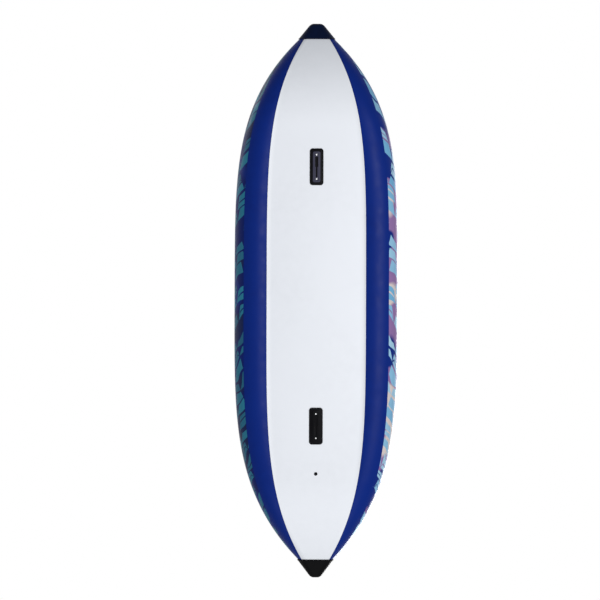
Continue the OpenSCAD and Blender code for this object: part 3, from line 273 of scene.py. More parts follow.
def runs(points):
    """Length of a path up to each of its points."""
    reached = [0]
    for a, b in zip(points, points[1:]):
        reached.append(reached[-1] + (b - a).length)
    return reached


# Lines of the hull

def share_of(x):
    return min(abs(x) / (hull().length / 2), 1)


def plan_y(x):
    h = hull()
    reach, power = (0, h.bow_fullness) if x >= 0 else (h.stern_close, h.stern_fullness)
    return h.beam / 2 * (1 - (abs(x) / (h.length / 2 - reach)) ** power)


def tube_r(x):
    h = hull()
    swell = h.tube_d / 2 - (h.tube_d / 2 - h.tip_r) * share_of(x) ** h.taper
    return min(swell, (plan_y(x) - h.tube_gap) / 2)


def tube_y(x):
    return plan_y(x) - tube_r(x)


def keel_z(x):
    h = hull()
    return h.rocker * (max(0, abs(x) - h.flat_half) / (h.length / 2 - h.flat_half)) ** 2


def tube_z(x):
    return keel_z(x) + hull().cover_fit + hull().strip_t + tube_r(x)


def on_tube(x, a, lift, side):
    """A point on a tube: a is the angle outboard from its top."""
    r = tube_r(x) + lift
    return Vector((x, side * (tube_y(x) + r * math.sin(a)), tube_z(x) + r * math.cos(a)))


def below_tube(x, d, lift, side):
    """A point on a tube: d is the angle outboard from straight down."""
    return on_tube(x, math.pi - d, lift, side)


def around_tube(a, side):
    return Vector((0, side * math.cos(a), -math.sin(a)))


def skin_lift():
    return hull().cover_fit + hull().skin_t


def tube_end():
    return hull().length / 2 - hull().setback


def along_hull(count, reach=90):
    """Places along the hull, closer together towards the tips."""
    return [tube_end() * math.sin(math.radians(reach) * t) for t in steps(-1, 1, count)]


def seam_angle(x):
    return hull().seam + hull().seam_rise * share_of(x) ** 4


def panel_y(x):
    h = hull()
    power = h.panel_bow if x >= 0 else h.panel_stern
    return h.panel_half - (h.panel_half - h.panel_tip) * share_of(x) ** power


def crease(x):
    """Angle outboard from straight down to where the bottom and a rub strip meet."""
    steepest = 0.9
    return math.asin(max(-steepest, min(steepest, (panel_y(x) - tube_y(x)) / tube_r(x))))


def edge_angle(x):
    """Half of the gap between the bottom and a rub strip, as an angle."""
    return hull().edge_gap / tube_r(x) / 2


def panel_leave(x):
    return min(crease(x) - edge_angle(x), 0) - hull().panel_lap


def leave_y(x, lift):
    return tube_y(x) + (tube_r(x) + lift) * math.sin(panel_leave(x))


def leave_z(x, lift):
    return tube_z(x) - (tube_r(x) + lift) * math.cos(panel_leave(x))


def panel_low(x):
    least_sag = 0.0004
    return min(keel_z(x) + hull().panel_level, leave_z(x, skin_lift()) - least_sag)


def panel_z(x, y, lift):
    edge = leave_z(x, lift)
    middle = panel_low(x) + skin_lift() - lift
    return edge - (edge - middle) * (1 - (y / leave_y(x, lift)) ** 2)


# Meshes

def link(name, data):
    made = bpy.data.objects.new(name, data)
    bpy.context.scene.collection.objects.link(made)
    return made


def discard(*pieces):
    """Removes pieces and their meshes."""
    for piece in pieces:
        mesh = piece.data
        bpy.data.objects.remove(piece)
        bpy.data.meshes.remove(mesh)


def shade(mesh, sharp=40):
    mesh.polygons.foreach_set("use_smooth", [True] * len(mesh.polygons))
    mesh.set_sharp_from_angle(angle=math.radians(sharp))
    mesh.update()


def build(name, points, faces, materials, uvs=None, picks=None, sharp=40):
    """A closed piece from points and faces, with faces outwards. uvs holds one pair for each face corner."""
    mesh = bpy.data.meshes.new(name)
    mesh.from_pydata([tuple(p) for p in points], [], faces)
    for material in materials:
        mesh.materials.append(material)
    if picks:
        mesh.polygons.foreach_set("material_index", picks)
    if uvs:
        layer = mesh.uv_layers.new(name="UVMap")
        layer.data.foreach_set("uv", [c for corner in uvs for c in corner])
    shell = bmesh.new()
    shell.from_mesh(mesh)
    bmesh.ops.recalc_face_normals(shell, faces=shell.faces)
    shell.to_mesh(mesh)
    shell.free()
    shade(mesh, sharp)
    return link(name, mesh)


def loft(name, rings, materials, flats=None, picks=None, sharp=40, closed=False):
    """A solid through rings of points.

    flats holds each ring's place on the flat map, and picks each column's material.
    """
    n, m = len(rings[0]), len(rings)
    around = [runs([*ring, ring[0]]) for ring in rings]
    flats = flats or runs([ring[0] for ring in rings] + [rings[0][0]])
    spans = m if closed else m - 1
    faces, uvs = [], []
    for i in range(spans):
        k = (i + 1) % m
        for j in range(n):
            faces.append((i * n + j, i * n + (j + 1) % n, k * n + (j + 1) % n, k * n + j))
            uvs += [(flats[i], around[i][j]), (flats[i], around[i][j + 1])]
            uvs += [(flats[i + 1], around[k][j + 1]), (flats[i + 1], around[k][j])]
    chosen = (picks or [0] * n) * spans
    if not closed:
        faces += [tuple(range(n)), tuple(range((m - 1) * n, m * n))]
        uvs += [(p[1], p[2]) for p in rings[0] + rings[-1]]
        chosen += [0, 0]
    return build(name, [p for ring in rings for p in ring], faces, materials, uvs, chosen, sharp)


def skin(name, outer, inner, material):
    """A thin closed sheet between two grids of points, with its own flat map in metres."""
    m, n = len(outer), len(outer[0])
    base = m * n
    flat = []
    for row in outer:
        reached = runs(row)
        flat += [(p.x, along - reached[-1] / 2) for p, along in zip(row, reached)]
    flat += flat
    faces = []
    for i in range(m - 1):
        for j in range(n - 1):
            a, b, c, d = i * n + j, (i + 1) * n + j, (i + 1) * n + j + 1, i * n + j + 1
            faces += [(a, b, c, d), (base + a, base + d, base + c, base + b)]
        for a in (i * n, i * n + n - 1):
            faces.append((a, base + a, base + a + n, a + n))
    for i in (0, m - 1):
        for a in range(i * n, i * n + n - 1):
            faces.append((a, a + 1, base + a + 1, base + a))
    points = [p for row in outer + inner for p in row]
    return build(name, points, faces, [material], [flat[v] for face in faces for v in face])


def frames_along(points, closed=False):
    """Two square directions at each point of a path, turned as little as possible."""
    count = len(points)
    tangents = []
    for i in range(count):
        if closed:
            step = points[(i + 1) % count] - points[i - 1]
        else:
            step = points[min(i + 1, count - 1)] - points[max(i - 1, 0)]
        tangents.append(step.normalized())
    first = tangents[0].orthogonal().normalized()
    result = []
    for t in tangents:
        first = (first - t * first.dot(t)).normalized()
        result.append((first.copy(), t.cross(first)))
    return result


def rod(name, points, radius, material, sides=10, closed=False):
    """A round bead, piping or wire along points."""
    rings = [
        [p + (a * c + b * s) * radius for c, s in arc(0, 360, sides)[:-1]]
        for p, (a, b) in zip(points, frames_along(points, closed))
    ]
    return loft(name, rings, [material], closed=closed, sharp=60)


def cut_corners(points, rounds=3):
    """A path with its corners rounded, ends kept."""
    for _ in range(rounds):
        cut = [points[0]]
        for a, b in zip(points, points[1:]):
            cut += [mix(a, b, 0.25), mix(a, b, 0.75)]
        points = cut + [points[-1]]
    return points


def webbing_band(name, points, across, width):
    """Flat webbing with round edges along points, with the direction of its width at each point."""
    half_w, half_t = width / 2, outfit().strap_t / 2
    edge = half_t * 0.7
    corner = [(half_w - edge, half_t), (half_w, half_t - edge)]
    side = corner + [(a, -b) for a, b in reversed(corner)]
    outline = side + [(-a, -b) for a, b in side]
    last = len(points) - 1
    rings = []
    for i, p in enumerate(points):
        along = (points[min(i + 1, last)] - points[max(i - 1, 0)]).normalized()
        w = across[i] if isinstance(across, list) else across
        w = (w - along * w.dot(along)).normalized()
        t = along.cross(w)
        rings.append([p + w * a + t * b for a, b in outline])
    return loft(name, rings, [webbing_finish()], flats=runs(points), sharp=50)


def evaluated(obj):
    """The object as its modifiers leave it, as a plain piece."""
    graph = bpy.context.evaluated_depsgraph_get()
    graph.update()
    mesh = bpy.data.meshes.new_from_object(obj.evaluated_get(graph))
    old = obj.data
    obj.modifiers.clear()
    obj.data = mesh
    bpy.data.meshes.remove(old)
    mesh.name = obj.name
    return obj


def bored(obj, centre, radius, depth):
    """Cuts a round hole straight down through a piece."""
    cutter = bpy.data.meshes.new("bore")
    shape = bmesh.new()
    bmesh.ops.create_cone(
        shape, cap_ends=True, segments=48, radius1=radius, radius2=radius, depth=depth,
        matrix=Matrix.Translation(centre),
    )
    shape.to_mesh(cutter)
    shape.free()
    tool = link("bore", cutter)
    cut = obj.modifiers.new("bore", "BOOLEAN")
    cut.operation, cut.solver, cut.object = "DIFFERENCE", "EXACT", tool
    made = evaluated(obj)
    discard(tool)
    shade(made.data)
    return made


def islands_of(shape):
    """The groups of faces that hang together."""
    groups, seen = [], set()
    for face in shape.faces:
        if face in seen:
            continue
        seen.add(face)
        todo, group = [face], []
        while todo:
            at = todo.pop()
            group.append(at)
            for other in (f for edge in at.edges for f in edge.link_faces if f not in seen):
                seen.add(other)
                todo.append(other)
        groups.append(group)
    return groups


def dressed_copy(node, name, material, bevel=0.0006, segments=2, islands=False):
    """A copy of a fitting's solid with merged faces and softened edges, or one for each of its islands."""
    shape = bmesh.new()
    shape.from_mesh(frame["nodes"][node].data)
    bmesh.ops.remove_doubles(shape, verts=shape.verts, dist=2e-6)
    bmesh.ops.dissolve_limit(shape, angle_limit=math.radians(1.5), verts=shape.verts, edges=shape.edges)
    made = []
    for number, group in enumerate(islands_of(shape) if islands else [shape.faces]):
        corners = list(dict.fromkeys(v for face in group for v in face.verts))
        index = {v: i for i, v in enumerate(corners)}
        mesh = bpy.data.meshes.new(name)
        mesh.from_pydata([v.co for v in corners], [], [[index[v] for v in face.verts] for face in group])
        mesh.materials.append(material)
        piece = link(f"{name}_{number + 1}" if islands else name, mesh)
        soft = piece.modifiers.new("edges", "BEVEL")
        soft.width, soft.segments, soft.limit_method = bevel, segments, "ANGLE"
        soft.angle_limit, soft.use_clamp_overlap = math.radians(35), True
        shade(evaluated(piece).data, 30)
        made.append(piece)
    shape.free()
    return made if islands else made[0]


def joined(name, pieces):
    """Several pieces of one material as one."""
    shape = bmesh.new()
    for piece in pieces:
        shape.from_mesh(piece.data)
    mesh = bpy.data.meshes.new(name)
    shape.to_mesh(mesh)
    shape.free()
    mesh.materials.append(pieces[0].data.materials[0])
    discard(*pieces)
    return link(name, mesh)


def centre_of(node):
    """Middle of a node's box."""
    low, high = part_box(node)
    return (low + high) / 2


def stretched(obj, rows, *pieces):
    """Works out the size that a skin's rows of points have laid flat, and the skin's area, and keeps neither.
    """
    middle = len(rows[0]) // 2
    flat = max(runs(row)[-1] for row in rows), runs([row[middle] for row in rows])[-1]
    area = 0
    for row, after in zip(rows, rows[1:]):
        for a, b, c, d in zip(row, row[1:], after, after[1:]):
            area += area_tri(a, b, d) + area_tri(a, d, c)


def settle(obj, slot, *nodes, body="hull"):
    """Lets a piece move with its body and stand for its solids."""
    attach(obj, body)
    if nodes:
        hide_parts(*nodes)
    return obj


def bridge(obj, node, start, end):
    """Bakes a piece's place into its mesh and hides the solid that it stands for."""
    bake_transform(obj)
    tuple(start)
    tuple(end)
    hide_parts(node)


# Node trees

class Field:
    """A socket that can be reckoned with."""

    def __init__(self, socket):
        self.socket = socket

    def math(self, operation, *others):
        inputs = dict(enumerate((self, *others)))
        return field(self.socket.id_data, "ShaderNodeMath", inputs, operation=operation)

    def __add__(self, other):
        return self.math("ADD", other)

    def __sub__(self, other):
        return self.math("SUBTRACT", other)

    def __rsub__(self, other):
        return self.math("MULTIPLY_ADD", -1.0, other)

    def __mul__(self, other):
        return self.math("MULTIPLY", other)

    def __truediv__(self, other):
        return self.math("DIVIDE", other)

    def __abs__(self):
        return self.math("ABSOLUTE")

    def span(self, low, high, start=0.0, end=1.0):
        """The same share of the way from start to end as this is from low to high."""
        return field(self.socket.id_data, "ShaderNodeMapRange", {
            "Value": self, "From Min": low, "From Max": high, "To Min": start, "To Max": end,
        })

    def blend(self, first, second):
        """A colour this far from the first to the second."""
        inputs = {0: self, 6: first, 7: second}
        return field(self.socket.id_data, "ShaderNodeMix", inputs, out=2, data_type="RGBA")


def node(tree, kind, inputs=(), **settings):
    """A new node with its settings, and with values or fields on its inputs."""
    made = tree.nodes.new(kind)
    for key, value in settings.items():
        setattr(made, key, value)
    for key, value in dict(inputs).items():
        socket = made.inputs[key]
        if isinstance(value, Field):
            tree.links.new(value.socket, socket)
        elif socket.type == "RGBA":
            socket.default_value = (*value[:3], 1)
        else:
            socket.default_value = value
    return made


def field(tree, kind, inputs=(), out=0, **settings):
    """One output of a new node."""
    return Field(node(tree, kind, inputs, **settings).outputs[out])


def fields(tree, kind, inputs=(), **settings):
    """All outputs of a new node, by name."""
    return {socket.name: Field(socket) for socket in node(tree, kind, inputs, **settings).outputs}


def parts_of(tree, vector):
    return fields(tree, "ShaderNodeSeparateXYZ", {0: vector}).values()


def vector_of(tree, **parts):
    return field(tree, "ShaderNodeCombineXYZ", parts)


def noise(tree, vector, scale, detail):
    return field(tree, "ShaderNodeTexNoise", {"Vector": vector, "Scale": scale, "Detail": detail})


def choose_shader(tree, output, share, first, second):
    """Sends one shader or the other to a tree's output."""
    chosen = node(tree, "ShaderNodeMixShader", {0: share, 1: first, 2: second})
    tree.links.new(chosen.outputs[0], tree.nodes[output].inputs["Surface"])


def new_group(name, kind, inputs, outputs, maker):
    """A node group whose inputs hold a default or a kind of socket. Its maker turns them into outputs."""
    tree = bpy.data.node_groups.new(name, kind)
    kinds = {int: "Int", float: "Float", tuple: "Color"}
    for label, value in inputs.items():
        plain = isinstance(value, str)
        socket = "NodeSocket" + (value if plain else kinds[type(value)])
        made = tree.interface.new_socket(label, in_out="INPUT", socket_type=socket)
        if not plain:
            made.default_value = value
    for label, socket in outputs.items():
        tree.interface.new_socket(label, in_out="OUTPUT", socket_type="NodeSocket" + socket)
    node(tree, "NodeGroupOutput", maker(tree, fields(tree, "NodeGroupInput")))
    return tree


def shader_group(name, inputs, outputs):
    """Makes a shader group once, with places on a piece as its first input."""
    def wrap(maker):
        given = {"Vector": "Vector", **inputs}
        return cache(lambda: new_group(name, "ShaderNodeTree", given, outputs, maker))
    return wrap


def geometry_group(name, sizes):
    """Makes a geometry group once, whose pieces are realized and get their finish."""
    def wrap(maker):
        def finished(tree, given):
            real = field(tree, "GeometryNodeRealizeInstances", {"Geometry": maker(tree, given)})
            inputs = {"Geometry": real, "Material": given["Finish"]}
            return {"Geometry": field(tree, "GeometryNodeSetMaterial", inputs)}

        given = {"Geometry": "Geometry", **sizes, "Finish": "Material"}
        return cache(lambda: new_group(name, "GeometryNodeTree", given, {"Geometry": "Geometry"}, finished))
    return wrap


@shader_group("Woven Threads", {"Pitch": 0.0012}, {"Height": "Float"})
def woven_threads(tree, given):
    """Height of a plain weave, from flat or solid coordinates."""
    turn = field(tree, "ShaderNodeMath", {0: TURN, 1: given["Pitch"]}, operation="DIVIDE")
    scaled = field(tree, "ShaderNodeVectorMath", {0: given["Vector"], "Scale": turn}, operation="SCALE")
    x, y, z = (part.math("SINE") for part in parts_of(tree, scaled))
    return {"Height": x * y + y * z + z * x}


@shader_group(
    "Handling Marks",
    {"Color": (0.5, 0.5, 0.5, 1), "Mark Color": (0.5, 0.5, 0.5, 1), "Scale": 4.0, "Amount": 0.2},
    {"Color": "Color", "Mask": "Float"},
)
def handling_marks(tree, given):
    """Dust and rubbed places that tint a colour unevenly."""
    broad = noise(tree, given["Vector"], given["Scale"], detail=5.0)
    fine = noise(tree, given["Vector"], given["Scale"] * 9.0, detail=3.0)
    mask = broad.span(0.38, 0.72) * fine.span(0.25, 0.75) * given["Amount"]
    return {"Color": mask.blend(given["Color"], given["Mark Color"]), "Mask": mask}


@shader_group("Moulded Grain", {"Scale": 900.0}, {"Height": "Float"})
def moulded_grain(tree, given):
    """Height of a fine pebbled mould texture."""
    cells = {"Vector": given["Vector"], "Scale": given["Scale"]}
    pebbles = field(tree, "ShaderNodeTexVoronoi", cells, out="Distance")
    return {"Height": pebbles + noise(tree, given["Vector"], given["Scale"] * 0.4, detail=2.0)}


@shader_group(
    "Blade Print",
    {
        "Ground": (0, 0, 0.1, 1), "Blade": (0, 0.2, 0.3, 1), "Second Blade": (0, 0.1, 0.2, 1), "Pitch": 0.05,
        "Length": 0.085, "Slant": 0.9, "Ridge": 0.11, "Drift": 0.16,
    },
    {"Color": "Color"},
)
def blade_print(tree, given):
    """Slanted blades in a flowing chevron, on a ground colour, in flat coordinates in metres."""
    x, y, _ = parts_of(tree, given["Vector"])
    drift = noise(tree, given["Vector"], scale=5.0, detail=1.0)
    slid = abs(y - given["Ridge"]) * given["Slant"] + x
    turns = (drift * given["Drift"] + slid) / given["Pitch"]
    row, within = turns.math("FLOOR"), turns.math("FRACT")
    chance = field(tree, "ShaderNodeTexWhiteNoise", {"W": row}, out="Value", noise_dimensions="1D")
    spread = chance * 9.0 + y / given["Length"]
    column, along = spread.math("FLOOR"), spread.math("FRACT")
    cell = {"Vector": vector_of(tree, X=row, Y=column)}
    luck = field(tree, "ShaderNodeTexWhiteNoise", cell, out="Color", noise_dimensions="2D")
    which, whether, split = fields(tree, "ShaderNodeSeparateColor", {0: luck}).values()
    point = (along.math("MINIMUM", 1 - along) * 4.5).math("MINIMUM", 1.0)
    width = (chance * 0.3 + 0.62) * point
    inside = (width - within).span(0.0, 0.03)
    rib = abs(within - width * 0.5)
    slit = rib.math("LESS_THAN", 0.045) * split.math("GREATER_THAN", 0.5)
    shown = inside * whether.math("GREATER_THAN", 0.14) * (1 - slit)
    return {"Color": shown.blend(given["Ground"], which.blend(given["Blade"], given["Second Blade"]))}


# Finishes

class Finish:
    """A new material, and places on the flat map or in the space of the piece that has it."""

    def __init__(self, name, **constants):
        self.material = bpy.data.materials.new(name)
        self.material.use_nodes = True
        self.tree = self.material.node_tree
        self.shader = self.tree.nodes["Principled BSDF"]
        where = fields(self.tree, "ShaderNodeTexCoord")
        self.flat, self.place = where["UV"], where["Object"]
        labels = {socket.name.lower().replace(" ", "_"): socket for socket in self.shader.inputs}
        for label, value in constants.items():
            labels[label].default_value = value

    def noise(self, scale, detail):
        return noise(self.tree, self.place, scale, detail)

    def threads(self, vector, pitch):
        inputs = {"Vector": vector, "Pitch": pitch}
        return field(self.tree, "ShaderNodeGroup", inputs, node_tree=woven_threads())

    def marked(self, base, mark, scale, amount):
        """A colour with marks of handling, and where they are."""
        inputs = {"Vector": self.place, "Color": base, "Mark Color": mark, "Scale": scale, "Amount": amount}
        return fields(self.tree, "ShaderNodeGroup", inputs, node_tree=handling_marks()).values()

    def wired(self, tint, rough, height, depth, strength):
        """The material with its colour, roughness and bumps."""
        bumps = {"Strength": strength, "Distance": depth, "Height": height}
        normal = field(self.tree, "ShaderNodeBump", bumps)
        for label, value in (("Base Color", tint), ("Roughness", rough), ("Normal", normal)):
            self.tree.links.new(value.socket, self.shader.inputs[label])
        return self.material

    def coated(self, tint):
        """The material with the weave, soft waviness and uneven gloss of coated fabric."""
        wave, gloss = self.noise(scale=7.0, detail=2.0), self.noise(scale=16.0, detail=4.0)
        height = self.threads(self.flat, pitch=0.0012) * 0.06 + wave * 3.0
        return self.wired(tint, gloss.span(0.3, 0.7, 0.34, 0.5), height, depth=0.0006, strength=0.6)


@cache
def pvc(name, base, mark, amount):
    """Coated fabric of one colour."""
    made = Finish(name, specular_ior_level=0.08)
    tint, _ = made.marked(base, mark, scale=2.4, amount=amount)
    return made.coated(tint)


@cache
def printed_pvc(name, pitch, *tones):
    """Coated fabric with a print of slanted blades, on a ground with broad patches amidships."""
    ground, patch, pale, blade, second = map(tone, tones)
    made = Finish(name, specular_ior_level=0.08)
    along, _, _ = parts_of(made.tree, made.flat)
    broad = abs(along) * -0.14 + made.noise(scale=3.6, detail=1.0)
    under = broad.span(0.35, 0.38).blend(ground, patch)
    under = broad.span(0.50, 0.53).blend(under, pale)
    picture = field(made.tree, "ShaderNodeGroup", {
        "Vector": made.flat, "Ground": under, "Blade": blade, "Second Blade": second,
        "Pitch": pitch, "Slant": -0.8,
    }, node_tree=blade_print())
    tint, _ = made.marked(picture, ground, scale=3.0, amount=0.2)
    return made.coated(tint)


@cache
def moulded(name, base, worn, rough, grain, depth):
    """Moulded plastic or rubber with a fine grain and rubbed places."""
    made = Finish(name, specular_ior_level=0.04)
    tint, rubbed = made.marked(base, worn, scale=22.0, amount=0.5)
    pebbles = {"Vector": made.place, "Scale": grain}
    height = field(made.tree, "ShaderNodeGroup", pebbles, node_tree=moulded_grain())
    return made.wired(tint, rubbed.span(0.0, 0.5, rough, rough + 0.14), height, depth, strength=0.5)


@cache
def steel_finish():
    """Drawn steel with fine lines and a few dull spots."""
    made = Finish("drawn_steel", metallic=1.0)
    tint, dull = made.marked(tone("steel"), tone("steel", 0.6), scale=60.0, amount=0.6)
    drawn = field(made.tree, "ShaderNodeMapping", {"Vector": made.place, "Scale": (900.0, 900.0, 60.0)})
    lines = noise(made.tree, drawn, scale=1.0, detail=2.0)
    return made.wired(tint, dull.span(0.0, 0.6, 0.22, 0.42), lines, depth=0.00004, strength=0.5)


@cache
def seat_cloth(name, base, dust_and_sheen):
    """Coarse woven seat fabric with a soft nap; its raised threads are painted lighter, a painted highlight,
    and its dust marks take the same lighter colour.
    """
    made = Finish(name, specular_ior_level=0.2, sheen_weight=0.12, sheen_roughness=0.5)
    threads = made.threads(made.place, pitch=0.0022)
    tint, _ = made.marked(base, dust_and_sheen, scale=9.0, amount=0.45)
    # Painted highlight: the raised threads are blended towards the lighter colour
    tint = threads.span(-1.0, 1.0, 0.0, 0.35).blend(tint, dust_and_sheen)
    return made.wired(tint, threads.span(-1.0, 1.0, 0.92, 0.74), threads, depth=0.0004, strength=0.8)


@cache
def webbing_finish():
    """Webbing with ribs along its length and cross threads, whose raised parts are painted lighter as a
    painted highlight.
    """
    rib_pitch, cross_pitch, dust_and_sheen = 0.0028, 0.0018, (0.040, 0.040, 0.045)
    made = Finish("ribbed_webbing", specular_ior_level=0.2)
    along, across, _ = parts_of(made.tree, made.flat)
    ribs = (across * (TURN / rib_pitch)).math("SINE")
    cross = (along * (TURN / cross_pitch) + ribs * 1.6).math("SINE")
    height = cross * 0.45 + ribs
    tint, _ = made.marked(tone("webbing"), dust_and_sheen, scale=30.0, amount=0.5)
    # Painted highlight: raised ribs and threads are blended towards the lighter colour
    tint = height.span(-1.4, 1.4, 0.0, 0.5).blend(tint, dust_and_sheen)
    return made.wired(tint, height.span(-1.4, 1.4, 0.85, 0.62), height, depth=0.00035, strength=0.8)


@cache
def thread_finish():
    """Twisted sewing thread."""
    made = Finish("sewing_thread")
    twist = made.noise(scale=700.0, detail=2.0)
    tint = twist.blend(tone("thread"), tone("thread", 0.55))
    return made.wired(tint, twist.span(0.3, 0.7, 0.55, 0.75), twist, depth=0.0002, strength=0.6)


@cache
def floor_finish():
    """Drop-stitch floor: coated cloth with rows of small dimples."""
    made = Finish("floor_cloth")
    tint, _ = made.marked(tone("floor"), tone("floor", 0.8), scale=5.0, amount=0.4)
    dimples = made.threads(made.place, pitch=0.011)
    height = made.threads(made.place, pitch=0.0012) * 0.12 + dimples
    return made.wired(tint, dimples.span(-1.0, 1.0, 0.62, 0.48), height, depth=0.0005, strength=0.7)


def navy_pvc():
    return pvc("navy_pvc", tone("navy"), tone("tube_navy"), amount=0.5)


def hard_plastic(name, base, worn, rough=0.3, grain=1100.0):
    return moulded(name, base, worn, rough, grain, depth=0.00008)


def black_plastic():
    return hard_plastic("black_plastic", tone("plastic"), (0.008, 0.008, 0.010), rough=0.36)


def grip_rubber():
    worn = (0.045, 0.045, 0.048)
    return moulded("grip_rubber", tone("rubber"), worn, rough=0.62, grain=700.0, depth=0.00015)


# Geometry node trees

def curve_to_mesh(tree, curve, sides, radius, **more):
    """A round bar along a curve."""
    profile = field(tree, "GeometryNodeCurvePrimitiveCircle", {"Resolution": sides, "Radius": radius})
    inputs = {"Curve": curve, "Profile Curve": profile, "Fill Caps": True, **more}
    return field(tree, "GeometryNodeCurveToMesh", inputs)


def cylinder(tree, sides, radius, depth):
    return field(tree, "GeometryNodeMeshCylinder", {"Vertices": sides, "Radius": radius, "Depth": depth})


def moved(tree, geometry, place):
    return field(tree, "GeometryNodeTransform", {"Geometry": geometry, "Translation": place})


def on_points(tree, points, piece, **more):
    return field(tree, "GeometryNodeInstanceOnPoints", {"Points": points, "Instance": piece, **more})


@geometry_group("Stitch Row", {"Pitch": 0.0045, "Thread": 0.0005})
def stitch_tree(tree, given):
    """Stitches, each a short thread, along the edges of a mesh."""
    path = field(tree, "GeometryNodeMeshToCurve", {"Mesh": given["Geometry"]})
    spacing = {"Curve": path, "Length": given["Pitch"]}
    spaced = field(tree, "GeometryNodeResampleCurve", spacing, mode="LENGTH")
    way = {"Vector": field(tree, "GeometryNodeInputTangent")}
    turned = field(tree, "FunctionNodeAlignRotationToVector", way, axis="Z")
    return on_points(tree, spaced, cylinder(tree, 6, given["Thread"], given["Pitch"] * 0.72), Rotation=turned)


@geometry_group("Cross Screws", {
    "Head Radius": 0.0055, "Head Height": 0.0017, "Recess": 0.0012,
    "Shank Radius": 0.0025, "Shank Length": 0.0032,
})
def screw_tree(tree, given):
    """Pan-head screws with a cross recess, facing down, on the points of a mesh."""
    radius, height, recess = given["Head Radius"], given["Head Height"], given["Recess"]
    half, long = height * 0.5, radius * 1.25
    head = field(tree, "GeometryNodeMeshCone", {
        "Vertices": 40, "Side Segments": 2, "Depth": height,
        "Radius Top": radius, "Radius Bottom": radius * 0.8,
    })
    for x, y in ((long, recess), (recess, long)):
        bar = field(tree, "GeometryNodeMeshCube", {"Size": vector_of(tree, X=x, Y=y, Z=height)})
        both = {"Mesh 1": head, "Mesh 2": moved(tree, bar, vector_of(tree, Z=half * -0.9))}
        head = field(tree, "GeometryNodeMeshBoolean", both, operation="DIFFERENCE", solver="EXACT")
    shank = cylinder(tree, 24, given["Shank Radius"], given["Shank Length"])
    shank = moved(tree, shank, vector_of(tree, Z=half + given["Shank Length"] * 0.5))
    whole = node(tree, "GeometryNodeJoinGeometry", {0: head})
    tree.links.new(shank.socket, whole.inputs[0])
    return on_points(tree, given["Geometry"], Field(whole.outputs[0]))


@geometry_group("Mat Tiles", {"Radius": 0.008, "Height": 0.0014})
def tile_tree(tree, given):
    """Raised diamond tiles over the points of a mesh."""
    radius = given["Radius"]
    sizes = {"Vertices": 4, "Radius Top": radius * 0.8, "Radius Bottom": radius, "Depth": given["Height"]}
    return on_points(tree, given["Geometry"], field(tree, "GeometryNodeMeshCone", sizes))


@geometry_group("Valve Spring", {
    "Coils": 4.0, "Radius": 0.00575, "Rise": 0.0122, "Wire": 0.0006, "Place": "Vector",
})
def spring_tree(tree, given):
    """A coil spring that stands on its place."""
    coil = field(tree, "GeometryNodeCurveSpiral", {
        "Resolution": 40, "Rotations": given["Coils"], "Start Radius": given["Radius"],
        "End Radius": given["Radius"], "Height": given["Rise"],
    })
    return moved(tree, curve_to_mesh(tree, coil, 10, given["Wire"]), given["Place"])


@geometry_group("Cap Ribs", {
    "Count": 36, "Radius": 0.0243, "Rib": 0.0009, "Height": 0.008, "Place": "Vector",
})
def rib_tree(tree, given):
    """Upright finger ribs round a cap."""
    ring = field(tree, "GeometryNodeMeshCircle", {"Vertices": given["Count"], "Radius": given["Radius"]})
    ribs = on_points(tree, ring, cylinder(tree, 8, given["Rib"], given["Height"]))
    return moved(tree, ribs, given["Place"])


@geometry_group("Ribbed Grip", {
    "Length": 0.112, "Radius": 0.014, "Pitch": 0.008, "Groove": 0.12, "Rounding": 0.0035,
})
def grip_tree(tree, given):
    """A round grip with ribs along its length and rounded ends, along X."""
    half = given["Length"] * 0.5
    ends = {"Start": vector_of(tree, X=half * -1.0), "End": vector_of(tree, X=half)}
    line = field(tree, "GeometryNodeCurvePrimitiveLine", ends)
    fine = field(tree, "GeometryNodeResampleCurve", {"Curve": line, "Count": 150}, mode="COUNT")
    at, _, _ = parts_of(tree, field(tree, "GeometryNodeInputPosition"))
    wave = (at / given["Pitch"] * TURN).math("COSINE") * 0.5 + 0.5
    inset = half - abs(at)
    wave = wave.math("POWER", 0.6).math("MAXIMUM", inset.math("LESS_THAN", given["Pitch"]))
    near = 1 - (inset / given["Rounding"]).math("MINIMUM", 1.0)
    scale = (1 - given["Groove"] * (1 - wave)) * (1 - near * near * 0.22)
    return curve_to_mesh(tree, fine, 36, given["Radius"], Scale=scale)


def grown(name, tree, values, points=((0, 0, 0),), edges=()):
    """What a node tree makes from points or edges, as a plain piece."""
    mesh = bpy.data.meshes.new(name)
    mesh.from_pydata([tuple(p) for p in points], list(edges), [])
    made = link(name, mesh)
    maker = made.modifiers.new(tree.name, "NODES")
    maker.node_group = tree
    for item in tree.interface.items_tree:
        if item.in_out == "INPUT" and item.name in values:
            maker[item.identifier] = values[item.name]
    evaluated(made)
    if not made.data.polygons:
        raise RuntimeError(f"{name} came out empty")
    shade(made.data)
    return made


def stitched(name, paths, body="hull"):
    """Rows of stitches along paths of points."""
    points, edges = [], []
    for path in paths:
        start = len(points)
        points += path
        edges += [(i, i + 1) for i in range(start, len(points) - 1)]
    values = {"Pitch": outfit().stitch, "Thread": outfit().thread_r, "Finish": thread_finish()}
    return settle(grown(name, stitch_tree(), values, points, edges), "webbing", body=body)


def stitch_box(spot, half_l, half_w):
    """Paths of a sewn box with a cross in it, at places that spot gives."""
    ways = ((1, -1), (1, 1), (-1, 1), (-1, -1))
    corners = [spot(u * half_l, v * half_w) for u, v in ways]
    edge = [p for a, b in zip(corners, corners[1:] + corners[:1]) for p in steps(a, b, 6)[:-1]]
    return [edge + corners[:1], corners[::2], corners[1::2]]


# Operators

class Maker:
    """What all the makers of pieces share."""

    bl_options = {"REGISTER", "UNDO"}


